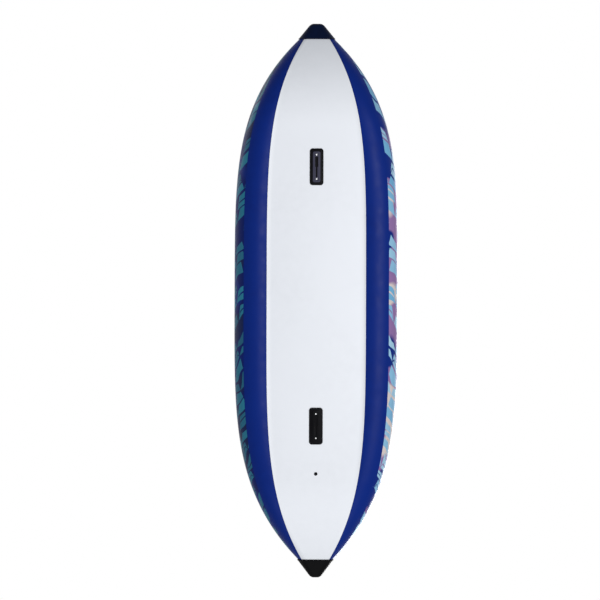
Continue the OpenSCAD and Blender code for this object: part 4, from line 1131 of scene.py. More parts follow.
class KAYAK_OT_stage(Maker, bpy.types.Operator):
    """Sets the camera, the floor, the world and the lamps."""

    bl_idname = "kayak.stage"
    bl_label = "Studio"

    def execute(self, context):
        scene = context.scene
        scene.view_settings.view_transform = "Standard"
        self.camera(scene)
        self.floor()
        self.world(scene)
        for name, place, aim, size, power in (
            ("key", (-11.5, 0.0, -11.0), (0, 0, 0.1), (12.0, 12.0), 1180),
            ("soft", (0.45, 2.7, -5.6), (0.35, 0, 0.1), (2.0, 3.6), 230),
            ("side", (3.0, -5.0, 3.5), (0, 0, 0.2), (3.0, 3.0), 110),
        ):
            lamp = self.lamp(name, "AREA", place, aim, power)
            lamp.shape = "RECTANGLE"
            lamp.size, lamp.size_y = size
        self.lamp("sky", "SUN", (-1.0, 2.5, 6.0), (0, 0, 0.2), 2.6).angle = math.radians(24)
        return {"FINISHED"}

    def lamp(self, name, kind, place, aim, power):
        """A lamp that faces its aim and that the camera doesn't see."""
        lamp = bpy.data.lights.new(name, kind)
        lamp.energy = power
        held = link(name, lamp)
        held.location = place
        held.rotation_euler = (Vector(aim) - Vector(place)).to_track_quat("-Z", "Y").to_euler()
        held.visible_camera = False
        return lamp

    def camera(self, scene):
        """Square-on from below, with the bow up and leaning a little to the right."""
        distance, level, width, roll = 48.0, 0.25, 3.472, math.radians(0.17)
        lens = bpy.data.cameras.new("view")
        lens.sensor_width = 36
        lens.lens = lens.sensor_width * (distance + level) / width
        lens.clip_end = 200
        right, up = Vector((math.sin(roll), math.cos(roll), 0)), Vector((math.cos(roll), -math.sin(roll), 0))
        turn = Matrix((right, up, right.cross(up))).transposed().to_4x4()
        scene.camera = link("view", lens)
        scene.camera.matrix_world = Matrix.Translation((0.003, -0.0935, -distance)) @ turn

    def floor(self):
        """A pale floor that shows from above only."""
        half, level = 30, -0.001
        made = Finish("studio_floor", roughness=0.9)
        tree = made.tree
        cloud = field(tree, "ShaderNodeTexNoise", {"Vector": made.place, "Scale": 0.7})
        tint = cloud.blend((0.84, 0.84, 0.84), (0.87, 0.87, 0.88))
        tree.links.new(tint.socket, made.shader.inputs["Base Color"])
        behind = field(tree, "ShaderNodeNewGeometry", out="Backfacing")
        clear = field(tree, "ShaderNodeBsdfTransparent")
        choose_shader(tree, "Material Output", behind, Field(made.shader.outputs[0]), clear)
        mesh = bpy.data.meshes.new("studio_floor")
        corners = [(x * half, y * half, level) for x, y in ((-1, -1), (1, -1), (1, 1), (-1, 1))]
        mesh.from_pydata(corners, [], [(0, 1, 2, 3)])
        mesh.materials.append(made.material)
        ground = link("studio_floor", mesh)
        ground.visible_shadow = ground.visible_diffuse = ground.visible_glossy = False

    def world(self, scene):
        """White behind the kayak and in its gloss, and soft grey light otherwise."""
        scene.world = bpy.data.worlds.new("studio")
        scene.world.use_nodes = True
        tree = scene.world.node_tree
        soft = tree.nodes["Background"]
        soft.inputs["Color"].default_value = (0.93, 0.96, 1.0, 1)
        soft.inputs["Strength"].default_value = 0.25
        white = field(tree, "ShaderNodeBackground", {"Color": (1, 1, 1), "Strength": 1.0})
        ray = fields(tree, "ShaderNodeLightPath")
        seen = ray["Is Glossy Ray"].math("MAXIMUM", ray["Is Transmission Ray"])
        seen = ray["Is Camera Ray"].math("MAXIMUM", seen)
        choose_shader(tree, "World Output", seen, Field(soft.outputs[0]), white)


class KAYAK_OT_side_tubes(Maker, bpy.types.Operator):
    """Makes the two side tubes with printed flanks, welded tapes and valve holes."""

    bl_idname = "kayak.side_tubes"
    bl_label = "Side tubes"
    flank_cells = 26
    tape_cells = 4
    rest_cells = 62

    def execute(self, context):
        h = hull()
        plain = pvc("tube_pvc", tone("tube_navy"), tone("navy"), amount=0.5)
        tape = pvc("tape_pvc", tone("navy"), tone("tube_navy"), amount=0.3)
        prints = {
            "port": printed_pvc("port_print", 0.085, "navy", "violet", "peach", "sky", "pale_sky"),
            "starboard": printed_pvc(
                "starboard_print", 0.079, "print_ground", "tube_navy", "navy", "teal", "deep_teal"
            ),
        }
        places = along_hull(240)
        picks = [0] * self.flank_cells + [2] * self.tape_cells + [1] * self.rest_cells
        for name, side in SIDES.items():
            rings = [self.ring(x, side) for x in places]
            finishes = [prints[name], plain, tape]
            tube = loft(f"{name}_side_tube", rings, finishes, flats=places, picks=picks, sharp=30)
            bored(tube, on_tube(h.side_valve, 0, 0, side), h.valve_bore, depth=0.06)
            settle(tube, f"{name}_print", f"{name}_tube")
        return {"FINISHED"}

    def ring(self, x, side):
        h = hull()
        low, widest = seam_angle(x), math.radians(9)
        half = min(h.tape_w / tube_r(x) / 2, widest)
        first, second = h.print_top - half, h.print_top + half
        spots = [(d, 0) for d in steps(low, first, self.flank_cells)]
        spots += [(first, h.tape_t), (h.print_top, h.tape_t), (second, h.tape_t), (second, 0)]
        spots += [(d, 0) for d in steps(second, low + TURN, self.rest_cells)[1:-1]]
        return [below_tube(x, d, lift, side) for d, lift in spots]


class KAYAK_OT_bottom_skins(Maker, bpy.types.Operator):
    """Makes the pale bottom and the rub strips that cover the undersides of the tubes."""

    bl_idname = "kayak.bottom_skins"
    bl_label = "Bottom skins"
    lap_cells = 6
    span_cells = 30
    strip_cells = 22

    def execute(self, context):
        h = hull()
        pale = pvc("pale_pvc", tone("bottom"), tone("bottom", 0.93), amount=0.6)
        places = along_hull(230, 80)
        outer = [self.panel_row(x, skin_lift(), skin_lift()) for x in places]
        inner = [self.panel_row(x, h.cover_fit, HAIR) for x in places]
        sheet = skin("bottom_sheet", outer, inner, pale)
        x = centre_of("drain_body").x
        bored(sheet, Vector((x, 0, panel_low(x))), h.drain_bore, depth=0.02)
        settle(sheet, "bottom_pvc", "bottom_panel", "bow_bottom_panel", "stern_bottom_panel")
        stretched(sheet, outer)
        for name, side in SIDES.items():
            outer = [self.strip_row(x, h.cover_fit + h.strip_t, side) for x in places]
            inner = [self.strip_row(x, HAIR, side) for x in places]
            strip = skin(f"{name}_strip", outer, inner, navy_pvc())
            settle(strip, "blue_pvc", f"{name}_rub_strip")
            stretched(strip, outer)
        return {"FINISHED"}

    def panel_row(self, x, lift, edge_lift):
        turns = steps(crease(x) - edge_angle(x), panel_leave(x), self.lap_cells)
        lifts = [edge_lift] + [lift] * self.lap_cells
        port, starboard = (
            [below_tube(x, d, up, side) for d, up in zip(turns, lifts)] for side in SIDES.values()
        )
        across = [leave_y(x, lift) * t for t in steps(-1, 1, self.span_cells)[1:-1]]
        return starboard + [Vector((x, y, panel_z(x, y, lift))) for y in across] + port[::-1]

    def strip_row(self, x, lift, side):
        least_width = 0.02
        first = crease(x) + edge_angle(x)
        last = max(seam_angle(x), first + least_width)
        return [below_tube(x, d, lift, side) for d in steps(first, last, self.strip_cells)]


def deck_x(i):
    """Place of a deck's row along the tubes, from its cockpit edge at 0 to its end at 1."""
    first = math.asin(hull().deck_start / tube_end())
    return tube_end() * math.sin(mix(first, math.radians(80), i))


def deck_point(i, t, lift, way):
    """A point on a deck: t runs from 1 on the port tube to -1 on the starboard tube, past 1 on the laps."""
    h = hull()
    x = deck_x(i)
    if abs(t) >= 1:
        return on_tube(way * x, mix(-h.deck_lap, h.deck_lap, abs(t) - 1), lift, math.copysign(1, t))
    x = way * (x + h.deck_recess * (1 - t * t) * (1 - i) ** 2)
    y = tube_y(x) - (tube_r(x) + lift) * math.sin(h.deck_lap)
    z = tube_z(x) + (tube_r(x) + lift) * math.cos(h.deck_lap)
    start = way * h.deck_start
    wide = tube_y(start) - (tube_r(start) + lift) * math.sin(h.deck_lap)
    return Vector((x, t * y, z + h.deck_crown * (y / wide) ** 2 * (1 - t * t)))


class KAYAK_OT_decks(Maker, bpy.types.Operator):
    """Makes the bow and stern decks with a beaded hem and two rows of stitches."""

    bl_idname = "kayak.decks"
    bl_label = "Decks"

    def execute(self, context):
        h, lap_cells, span_cells = hull(), 6, 30
        across = steps(2, 1, lap_cells)[:-1] + steps(1, -1, span_cells) + steps(-1, -2, lap_cells)[1:]
        inner_lifts = [HAIR if abs(t) == 2 else h.cover_fit for t in across]
        rows = steps(0, 1, 60)
        bead = pvc("hem_pvc", tone("tube_navy"), tone("navy"), amount=0.3)
        for name, way in ENDS.items():
            outer = [[deck_point(i, t, skin_lift(), way) for t in across] for i in rows]
            inner = [[deck_point(i, t, lift, way) for t, lift in zip(across, inner_lifts)] for i in rows]
            cover = skin(f"{name}_deck_cover", outer, inner, navy_pvc())
            settle(cover, "blue_pvc", f"{name}_deck")
            edge = [deck_point(0, t, skin_lift() * 0.8, way) for t in across]
            hem = settle(rod(f"{name}_deck_hem", edge, h.hem_r, bead), "blue_pvc")
            on_top = skin_lift() + 0.0003
            lines = [[deck_point(i, t, on_top, way) for t in across[2:-2]] for i in (0.022, 0.045)]
            stretched(cover, outer, hem, stitched(f"{name}_deck_stitches", lines))
        return {"FINISHED"}


class KAYAK_OT_nose_caps(Maker, bpy.types.Operator):
    """Makes the moulded caps over the tips, with a bead round the mouth."""

    bl_idname = "kayak.nose_caps"
    bl_label = "Nose caps"
    # Share of the cap's length and swell, along the bead
    bead = ((0.0, 0.0006), (0.006, 0.0012), (0.02, 0.0012), (0.06, 0.0012), (0.08, 0.0006), (0.09, 0.0))
    after_bead = 0.12
    # How much lighter rubbed places are, and roughness
    wear = {"bow": (2.2, 0.34), "stern": (2.5, 0.5)}

    def execute(self, context):
        h = hull()
        for name, way in ENDS.items():
            node = f"{name}_cap"
            lighter, rough = self.wear[name]
            finish = tone(node), tone(node, lighter), rough
            rubber = moulded(f"{node}_rubber", *finish, grain=800.0, depth=0.0001)
            long, _ = self.size(way)
            rings = [self.room(way * x) for x in steps(tube_end() + h.cap_fit, h.length / 2 - long, 12)]
            rings += [self.outside(s, way, -swell) for s, swell in self.bead]
            share = 1 - h.cap_round / long
            rings += [self.outside(s, way, 0) for s in steps(self.after_bead, share, 14)]
            for c, s in arc(0, 90, 12)[1:]:
                rings.append(self.outside(1 - (1 - share) * (1 - s), way, h.cap_round * (1 - c)))
            settle(loft(f"{name}_nose_cap", rings, [rubber], sharp=35), "cap_rubber", node)
        return {"FINISHED"}

    def size(self, way):
        """Length of a cap, and its half width at the tip."""
        h = hull()
        return (h.bow_cap, h.bow_cap_tip) if way > 0 else (h.stern_cap, h.stern_cap_tip)

    def slot_ring(self, x, half_w, half_h, z):
        return [
            Vector((x, side * (half_w - half_h) + half_h * c, z + half_h * s))
            for side in SIDES.values() for c, s in arc(-90 * side, 180, 24)
        ]

    def room(self, x):
        lining = skin_lift() + hull().cap_fit
        return self.slot_ring(x, tube_y(x) + tube_r(x) + lining, tube_r(x) + lining, tube_z(x))

    def outside(self, share, way, inset):
        h = hull()
        long, tip = self.size(way)
        x = way * (h.length / 2 - long)
        wall = skin_lift() + h.cap_fit + h.cap_wall
        wide = mix(tube_y(x) + tube_r(x) + wall, tip, share) - inset
        high = mix(tube_r(x) + wall, h.cap_half_h, share) - inset
        z = mix(tube_z(x), tube_z(way * tube_end()), share)
        return self.slot_ring(x + way * share * long, wide, high, z)


class KAYAK_OT_floor(Maker, bpy.types.Operator):
    """Makes the drop-stitch floor chamber and the tiled foam mats on it."""

    bl_idname = "kayak.floor"
    bl_label = "Floor and mats"

    def execute(self, context):
        h = hull()
        ends = arc(0, 86, 16)
        middle = steps(h.floor_round - h.floor_stern, h.floor_bow - h.floor_round, 90)
        rings = [self.ring(h.floor_round * (1 - s) - h.floor_stern, c) for c, s in reversed(ends)]
        rings += [self.ring(x, 1) for x in middle[1:-1]]
        rings += [self.ring(h.floor_bow - h.floor_round * (1 - s), c) for c, s in ends]
        floor = loft("floor_air_chamber", rings, [floor_finish()], sharp=50)
        bored(floor, Vector((h.floor_valve, 0, h.floor_level)), h.valve_bore, depth=0.09)
        settle(floor, "floor_pvc", "floor_chamber")
        self.mats()
        return {"FINISHED"}

    def ring(self, x, share):
        h = hull()
        top = keel_z(x) + h.floor_level
        r = (top - panel_z(x, 0, h.cover_fit) - h.floor_fit) / 2
        drop = tube_z(x) - (top - r)
        y = (tube_y(x) - math.sqrt((tube_r(x) + r + h.floor_gap) ** 2 - drop * drop)) * share
        low = panel_z(x, y, h.cover_fit) + h.floor_fit
        r = (top - low) / 2
        ring = []
        for side in SIDES.values():
            ring += [Vector((x, side * y + r * c, low + r + r * s)) for c, s in arc(-90 * side, 180, 14)]
            for q in steps(side * y, -side * y, 24)[1:-1]:
                ring.append(Vector((x, q, top if side > 0 else panel_z(x, q, h.cover_fit) + h.floor_fit)))
        return ring

    def mats(self):
        o, margin = outfit(), 0.06
        foam = moulded("mat_foam", tone("mat"), tone("mat", 1.9), rough=0.78, grain=420.0, depth=0.0003)
        low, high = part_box("floor_mats")
        base, top = low.z, low.z + o.mat_t - o.tile_h
        edge = ((0.0008, base), (0, base + 0.0008), (0, top - 0.0012), (0.0004, top - 0.0004), (0.0012, top))
        nx, ny = int((o.mat_l - margin) / o.tile), int((o.mat_w - margin) / o.tile)
        plates, points = [], []
        for number, x in enumerate((high.x - o.mat_l / 2, low.x + o.mat_l / 2)):
            rings = [self.plate_ring(x, inset, z) for inset, z in edge]
            plates.append(loft(f"mat_plate_{number}", rings, [foam], sharp=60))
            points += [
                (x + (i - nx / 2) * o.tile, (j - ny / 2) * o.tile, top + o.tile_h / 2 - HAIR)
                for i in range(nx + 1) for j in range(ny + 1)
            ]
        settle(joined("foam_mats", plates), "eva_mat", "floor_mats")
        values = {"Radius": o.tile * 0.44, "Height": o.tile_h, "Finish": foam}
        settle(grown("mat_tiles", tile_tree(), values, points), "eva_mat")

    def plate_ring(self, x, inset, z):
        o = outfit()
        half_l, half_w, r = o.mat_l / 2 - o.mat_corner, o.mat_w / 2 - o.mat_corner, o.mat_corner - inset
        return [
            Vector((x + sx * half_l + r * c, sy * half_w + r * s, z))
            for sx, sy, start in ((1, 1, 0), (-1, 1, 90), (-1, -1, 180), (1, -1, 270))
            for c, s in arc(start, 90, 12)
        ]


class KAYAK_OT_fin_boxes(Maker, bpy.types.Operator):
    """Makes the fin boxes under the bottom, with their cross-head screws."""

    bl_idname = "kayak.fin_boxes"
    bl_label = "Fin boxes"
    screw_z = 0.00115

    def execute(self, context):
        reach = outfit().screw_reach
        points = []
        for name in ENDS:
            solid = f"{name}_fin_box"
            box = dressed_copy(solid, f"{name}_fin_housing", black_plastic(), bevel=0.0005, segments=3)
            middle = centre_of(solid).x
            # Only the bow box gets the painted highlights on its rail and slot floor; the stern box is the
            # same black part
            if name == "bow":
                self.paint(box.data, middle)
            settle(box, "black_plastic", solid)
            points += [(middle + way * reach, 0, self.screw_z) for way in (-1, 1)]
        screws = grown("fin_screws", screw_tree(), {"Finish": steel_finish()}, points)
        settle(screws, "steel", "fin_box_screws")
        return {"FINISHED"}

    def paint(self, mesh, middle):
        """Gives the rail and the floor of the slot lighter colours: painted highlights that stand in for
        light reflected off the black plastic.
        """
        rail_half_l, rail_half_w, rail_top, slot_half_w = 0.087, 0.0205, 0.0035, 0.008
        # Painted highlights: a lighter rail and a pale slot floor
        mesh.materials.append(hard_plastic("slate_plastic", tone("slate"), (0.075, 0.075, 0.095)))
        mesh.materials.append(hard_plastic("slot_plastic", tone("slot"), tone("slot", 0.7)))
        for face in mesh.polygons:
            x, y, z = face.center
            reach = max(abs(mesh.vertices[v].co.y) for v in face.vertices)
            if abs(x - middle) < rail_half_l and abs(y) < rail_half_w and z < rail_top:
                face.material_index = 1
            elif reach < slot_half_w and face.normal.z < -0.9:
                face.material_index = 2


class KAYAK_OT_drain(Maker, bpy.types.Operator):
    """Makes the drain with its plug and seal."""

    bl_idname = "kayak.drain"
    bl_label = "Drain"

    def execute(self, context):
        barrel = dressed_copy("drain_body", "drain_barrel", black_plastic(), bevel=0.0005)
        settle(barrel, "black_plastic", "drain_body")
        plug = dressed_copy("drain_plug", "drain_stopper", black_plastic(), bevel=0.0008, segments=3)
        settle(plug, "black_plastic", "drain_plug", body="drain_plug")
        low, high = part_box("drain_seal")
        wire = (high.z - low.z) / 2
        reach = (high.x - low.x) / 2 - wire
        path = [centre_of("drain_seal") + Vector((c, s, 0)) * reach for c, s in arc(0, 360, 64)[:-1]]
        seal = rod("drain_ring_seal", path, wire, grip_rubber(), sides=14, closed=True)
        settle(seal, "seal_rubber", "drain_seal", body="drain_plug")
        return {"FINISHED"}


class KAYAK_OT_valves(Maker, bpy.types.Operator):
    """Makes the three inflation valves, each with its ribbed cap, plunger and spring."""

    bl_idname = "kayak.valves"
    bl_label = "Valves"
    rib_h = 0.0078
    rib_z = 0.0053
    rib_sink = 0.0003
    wire_r = 0.0006

    def execute(self, context):
        grey = hard_plastic("grey_plastic", tone("grey"), tone("grey", 0.75), rough=0.42, grain=900.0)
        parts = ("body", "cap", "plunger", "spring")
        for name in (*SIDES, "floor"):
            body, cap, plunger, spring = (f"{name}_valve_{part}" for part in parts)
            housing = dressed_copy(body, f"{name}_valve_housing", black_plastic(), bevel=0.0005)
            settle(housing, "black_plastic", body)
            lid = dressed_copy(cap, f"{name}_valve_lid", black_plastic(), bevel=0.0008, segments=3)
            settle(lid, "black_plastic", cap, body=cap)
            low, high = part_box(cap)
            middle = centre_of(cap)
            ribs = grown(f"{name}_lid_ribs", rib_tree(), {
                "Count": outfit().cap_ribs, "Radius": (high.x - low.x) / 2 - self.rib_sink,
                "Height": self.rib_h, "Place": (middle.x, middle.y, low.z + self.rib_z),
                "Finish": black_plastic(),
            })
            settle(ribs, "black_plastic", body=cap)
            stem = dressed_copy(plunger, f"{name}_valve_stem", grey, bevel=0.0005)
            settle(stem, "grey_plastic", plunger, body=plunger)
            low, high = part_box(spring)
            middle = centre_of(spring)
            place = (middle.x, middle.y, low.z + self.wire_r)
            coil = grown(f"{name}_valve_coil", spring_tree(), {
                "Rise": high.z - low.z - 2 * self.wire_r, "Place": place, "Finish": steel_finish(),
            })
            bridge(coil, spring, place, (middle.x, middle.y, high.z))
        return {"FINISHED"}


def squircle(a, half_l, half_w):
    """A point on a rectangle with full corners."""
    power = 2 / 5
    c, s = math.cos(a), math.sin(a)
    return half_l * math.copysign(abs(c) ** power, c), half_w * math.copysign(abs(s) ** power, s)


class KAYAK_OT_seats(Maker, bpy.types.Operator):
    """Makes the seats: stuffed cushions with channels, piping and stitches, on hinge flaps."""

    bl_idname = "kayak.seats"
    bl_label = "Seats"
    inset = 0.005
    # Inset and share of the thickness, up the sides of a cushion
    profile = (
        (0.014, 0), (0.004, 0.1), (0.0005, 0.26), (0.0035, 0.5), (0.0005, 0.74), (0.004, 0.9), (0.013, 1),
    )
    channel_half_w = 0.010
    channel_depth = 0.010
    channel_margin = 0.03

    def execute(self, context):
        o = outfit()
        base = self.stuffed("seat_pad", o.seat_d, o.seat_w, o.seat_t, (-0.075, 0.02, 0.105))
        back = self.stuffed("back_pad", o.back_h, o.seat_w, o.back_t, (-0.1, -0.01, 0.08))
        lean = Matrix.Rotation(-o.lean, 4, "Y")
        upright = Matrix.Translation((-o.back_t - o.crown, 0, o.back_gap + o.back_h / 2))
        upright @= Matrix.Rotation(math.pi / 2, 4, "Y")
        for name, x in SEATS.items():
            seat, hinge, rest = f"{name}_seat_base", f"{name}_seat_hinge", f"{name}_backrest"
            put = Matrix.Translation((centre_of(seat).x, 0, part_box(seat)[0].z))
            self.cushion(f"{name}_seat", base, put, "hull", seat)
            flap = dressed_copy(hinge, f"{name}_hinge_flap", webbing_finish(), bevel=0.0004)
            settle(flap, "webbing", hinge)
            axis = Matrix.Translation((x, 0, o.hinge_z)) @ lean
            self.cushion(f"{name}_back", back, axis @ upright, rest, rest)
            self.loops(name, axis)
        return {"FINISHED"}

    def stuffed(self, name, long, wide, thick, channels):
        """One cushion's points and faces, lying flat, with its piping and stitch lines."""
        crown, top_inset = outfit().crown, self.profile[-1][0]
        edge_gap, base_gap, top_gap = 0.0015, 0.0002, 0.0005
        half_l, half_w = long / 2 - self.inset, wide / 2 - self.inset
        turns = [TURN * (j + 0.5) / 96 for j in range(96)]

        def level(inset, share, z):
            size = (half_l - inset) * share, (half_w - inset) * share
            return [Vector((*squircle(a, *size), z)) for a in turns]

        rings = [level(inset, 1, share * thick) for inset, share in self.profile]
        for share in (0.85, 0.65, 0.4, 0.15):
            rings.append(level(top_inset, share, thick + crown * 0.75 * (1 - share * share)))
        form = loft(name, rings, [], sharp=80)
        fine = form.modifiers.new("even", "REMESH")
        fine.mode, fine.voxel_size = "VOXEL", 0.006
        evaluated(form)
        rest = np.array([v.co for v in form.data.vertices])
        pull = np.zeros(len(rest))
        for x in channels:
            pull = np.maximum(pull, np.exp(-((rest[:, 0] - x) / self.channel_half_w) ** 2))
        pull *= rest[:, 2] > thick * 0.8
        fade = np.clip((half_w - 0.012 - np.abs(rest[:, 1])) / self.channel_margin, 0, 1)
        rest[:, 2] -= pull * fade * self.channel_depth
        form.data.vertices.foreach_set("co", rest.ravel())
        reach = np.abs(rest[:, 1]) < half_w - self.channel_margin
        seam = np.abs(rest[:, 2] - thick * 0.5) < 0.0035
        rest = self.inflate(form, rest, (pull * reach > 0.75) | (rest[:, 2] < 0.004) | seam)
        shares = (np.abs(rest[:, 0]) / (long / 2)) ** 5 + (np.abs(rest[:, 1]) / (wide / 2)) ** 5
        limit = crown * (1 - (shares ** 0.2) ** 2)
        rest[:, 0] = np.clip(rest[:, 0], edge_gap - long / 2, long / 2 - edge_gap)
        rest[:, 1] = np.clip(rest[:, 1], edge_gap - wide / 2, wide / 2 - edge_gap)
        rest[:, 2] = np.clip(rest[:, 2], base_gap, thick + np.maximum(limit, 0.0) - top_gap)
        form.data.vertices.foreach_set("co", rest.ravel())
        form.data.update()
        finer = form.modifiers.new("finer", "SUBSURF")
        finer.levels = finer.render_levels = 1
        evaluated(form)
        points = [v.co.copy() for v in form.data.vertices]
        faces = [tuple(p.vertices) for p in form.data.polygons]
        discard(form)
        lines = self.lines(BVHTree.FromPolygons(points, faces), half_l, half_w, thick, channels)
        return points, faces, lines

    def inflate(self, form, rest, held):
        """Swells the cushion as cloth under pressure, held along its channels and seams."""
        scene, frames, most = bpy.context.scene, 20, 0.009
        group = form.vertex_groups.new(name="held")
        group.add([int(i) for i in np.flatnonzero(held)], 1.0, "REPLACE")
        cloth = form.modifiers.new("cloth", "CLOTH")
        s = cloth.settings
        s.quality, s.mass = 5, 0.2
        s.tension_stiffness = s.compression_stiffness = s.shear_stiffness = 12
        s.bending_stiffness = 0.4
        s.use_pressure, s.uniform_pressure_force = True, 4.0
        s.vertex_group_mass = "held"
        s.effector_weights.gravity = 0
        cloth.collision_settings.use_collision = False
        cloth.point_cache.frame_start, cloth.point_cache.frame_end = 1, frames
        for number in range(1, frames + 1):
            scene.frame_set(number)
        swollen = form.evaluated_get(bpy.context.evaluated_depsgraph_get())
        shift = np.array([v.co for v in swollen.to_mesh().vertices]) - rest
        swollen.to_mesh_clear()
        form.modifiers.clear()
        scene.frame_set(1)
        size = np.linalg.norm(shift, axis=1, keepdims=True)
        return rest + shift * np.minimum(1, most / np.maximum(size, 1e-9))

    def lines(self, tree, half_l, half_w, thick, channels):
        """Piping round the upper and lower edges, and stitches inside them and along the channels."""
        off_axis, sink, lift, margin, end = 0.001, 0.0004, 0.0002, 0.024, half_w - self.channel_margin
        turns = [TURN * j / 220 + off_axis for j in range(220)]
        piping, stitches = [], []
        for share in (0.16, 0.86):
            path = []
            for a in turns:
                x, y = squircle(a, half_l * 1.2, half_w * 1.2)
                inward = Vector((-x, -y, 0)).normalized()
                path.append(self.hit(tree, Vector((x, y, share * thick)), inward) + inward * sink)
            piping.append(path)
        rows = [[squircle(a, half_l - margin, half_w - margin) for a in turns + turns[:1]]]
        rows += [[(x, y) for y in steps(-end, end, 60)] for x in channels]
        down = Vector((0, 0, -1))
        for row in rows:
            stitches.append([self.hit(tree, Vector((x, y, thick * 3)), down) - down * lift for x, y in row])
        return piping, stitches

    def hit(self, tree, start, way):
        """Where a ray meets the cushion."""
        place = tree.ray_cast(start, way)[0]
        if place is None:
            raise RuntimeError("a line missed its cushion")
        return place

    def cushion(self, name, form, place, body, node):
        points, faces, (piping, stitches) = form
        # The lighter second colour is a painted highlight on the raised threads, and also the colour of dust
        # marks
        cloth = seat_cloth("seat_cloth", tone("fabric"), tone("fabric", 1.9, 0.01))
        pad = build(f"{name}_cushion", [place @ p for p in points], faces, [cloth], sharp=80)
        settle(pad, "seat_fabric", node, body=body)
        trim = seat_cloth("piping_cloth", tone("piping"), tone("piping", 1.4))
        r = outfit().piping_r
        beads = [rod("piping", [place @ p for p in path], r, trim, sides=8, closed=True) for path in piping]
        settle(joined(f"{name}_piping", beads), "seat_fabric", body=body)
        stitched(f"{name}_stitches", [[place @ p for p in path] for path in stitches], body)

    def loops(self, name, axis):
        """Fabric loops that hold the backrest on its bead."""
        o = outfit()
        inner = o.bead_d / 2 + o.strap_fit
        outer, tab = inner + o.loop_t, -o.crown - o.back_t / 2
        turn = arc(90, -340, 24)
        outline = [(r * c, r * s) for r, way in ((outer, turn), (inner, turn[::-1])) for c, s in way]
        outline += [(tab, inner), (tab, outer)]
        pieces = []
        for y in (-o.loop_y, o.loop_y):
            rings = [
                [axis @ Vector((x, y + half * o.loop_w / 2, z)) for x, z in outline]
                for half in (-1, -0.96, 0.96, 1)
            ]
            pieces.append(loft("loop", rings, [webbing_finish()], sharp=50))
        settle(joined(f"{name}_hinge_loops", pieces), "webbing", body=f"{name}_backrest")


def sewn_lift():
    """Height of sewn webbing's middle over a tube with a patch on it."""
    return hull().cover_fit + outfit().patch_t + outfit().strap_fit + outfit().strap_t / 2


class KAYAK_OT_straps(Maker, bpy.types.Operator):
    """Makes the seat straps with their adjusters, from the patches on the tubes to the backrests."""

    bl_idname = "kayak.straps"
    bl_label = "Seat straps"
    # Ends of a strap's sewn run, from the middle of its patch
    sewn_start = 0.025
    sewn_end = -0.034
    # Point of a strap at which it starts to turn upright
    twist = 12

    def execute(self, context):
        for name, x in SEATS.items():
            body, adjusters = f"{name}_backrest", f"{name}_strap_adjusters"
            buckles = dressed_copy(adjusters, f"{name}_adjuster", black_plastic(), islands=True)
            paths = []
            for side_name, side in SIDES.items():
                for end_name, way in (("fore", 1), ("aft", -1)):
                    strap, start, head, box = self.strap(f"{name}_{side_name}_{end_name}_strap", x, side, way)
                    bridge(strap, f"{name}_seat_straps", start, head)
                    paths += box
                    place = mix(start, head, 0.6)
                    nearest = min(buckles, key=lambda b: (self.middle(b) - place).length)
                    buckles.remove(nearest)
                    bridge(nearest, adjusters, start, head)
            stitched(f"{name}_strap_stitches", paths)
        return {"FINISHED"}

    def middle(self, obj):
        points = [v.co for v in obj.data.vertices]
        return sum(points, Vector()) / len(points)

    def strap(self, name, x, side, way):
        """A strap, the two ends of its free run, and the paths of its stitches."""
        o = outfit()
        anchor = x + (o.front_reach if way > 0 else -o.rear_reach)
        up = Vector((-math.sin(o.lean), 0, math.cos(o.lean)))
        ahead = Vector((math.cos(o.lean), 0, math.sin(o.lean)))
        share, height = (0.72, o.front_height) if way > 0 else (0.28, o.rear_height)
        head = Vector((x, side * (o.seat_w / 2 + o.strap_fit + o.strap_t / 2), o.hinge_z)) + up * height
        head -= ahead * (o.crown + o.back_t * share)

        def sewn(shift):
            return on_tube(anchor + way * shift, -o.strap_angle, sewn_lift(), side)

        lift_off = sewn(-(o.patch_rx + o.strap_t))
        start = mix(lift_off, head, 0.22)
        flat = around_tube(-o.strap_angle, side)
        along = (head - start).normalized()
        upright = (up - along * up.dot(along)).normalized()
        if flat.dot(upright) < 0:
            upright = -upright
        a, b, c = sewn(self.sewn_end), lift_off, mix(lift_off, start, 0.3)
        points = [sewn(shift) for shift in steps(self.sewn_start, self.sewn_end, 8)]
        points += [a * (1 - t) ** 2 + b * 2 * t * (1 - t) + c * t * t for t in steps(0, 1, 8)[1:]]
        points += steps(c, start, 8)[1:]
        turned = len(points)
        points += steps(start, head, 20)[1:]
        across = []
        for i in range(len(points)):
            t = smooth((i - self.twist) / (turned - self.twist))
            across.append((flat * (1 - t) + upright * t).normalized())
        strap = webbing_band(name, points, across, o.strap_w)
        out = (sewn(0) - on_tube(anchor, -o.strap_angle, 0, side)).normalized() * STITCH_LIFT
        box = stitch_box(lambda u, v: sewn(u) + flat * v + out, half_l=0.021, half_w=0.0095)
        return strap, lift_off, head, box


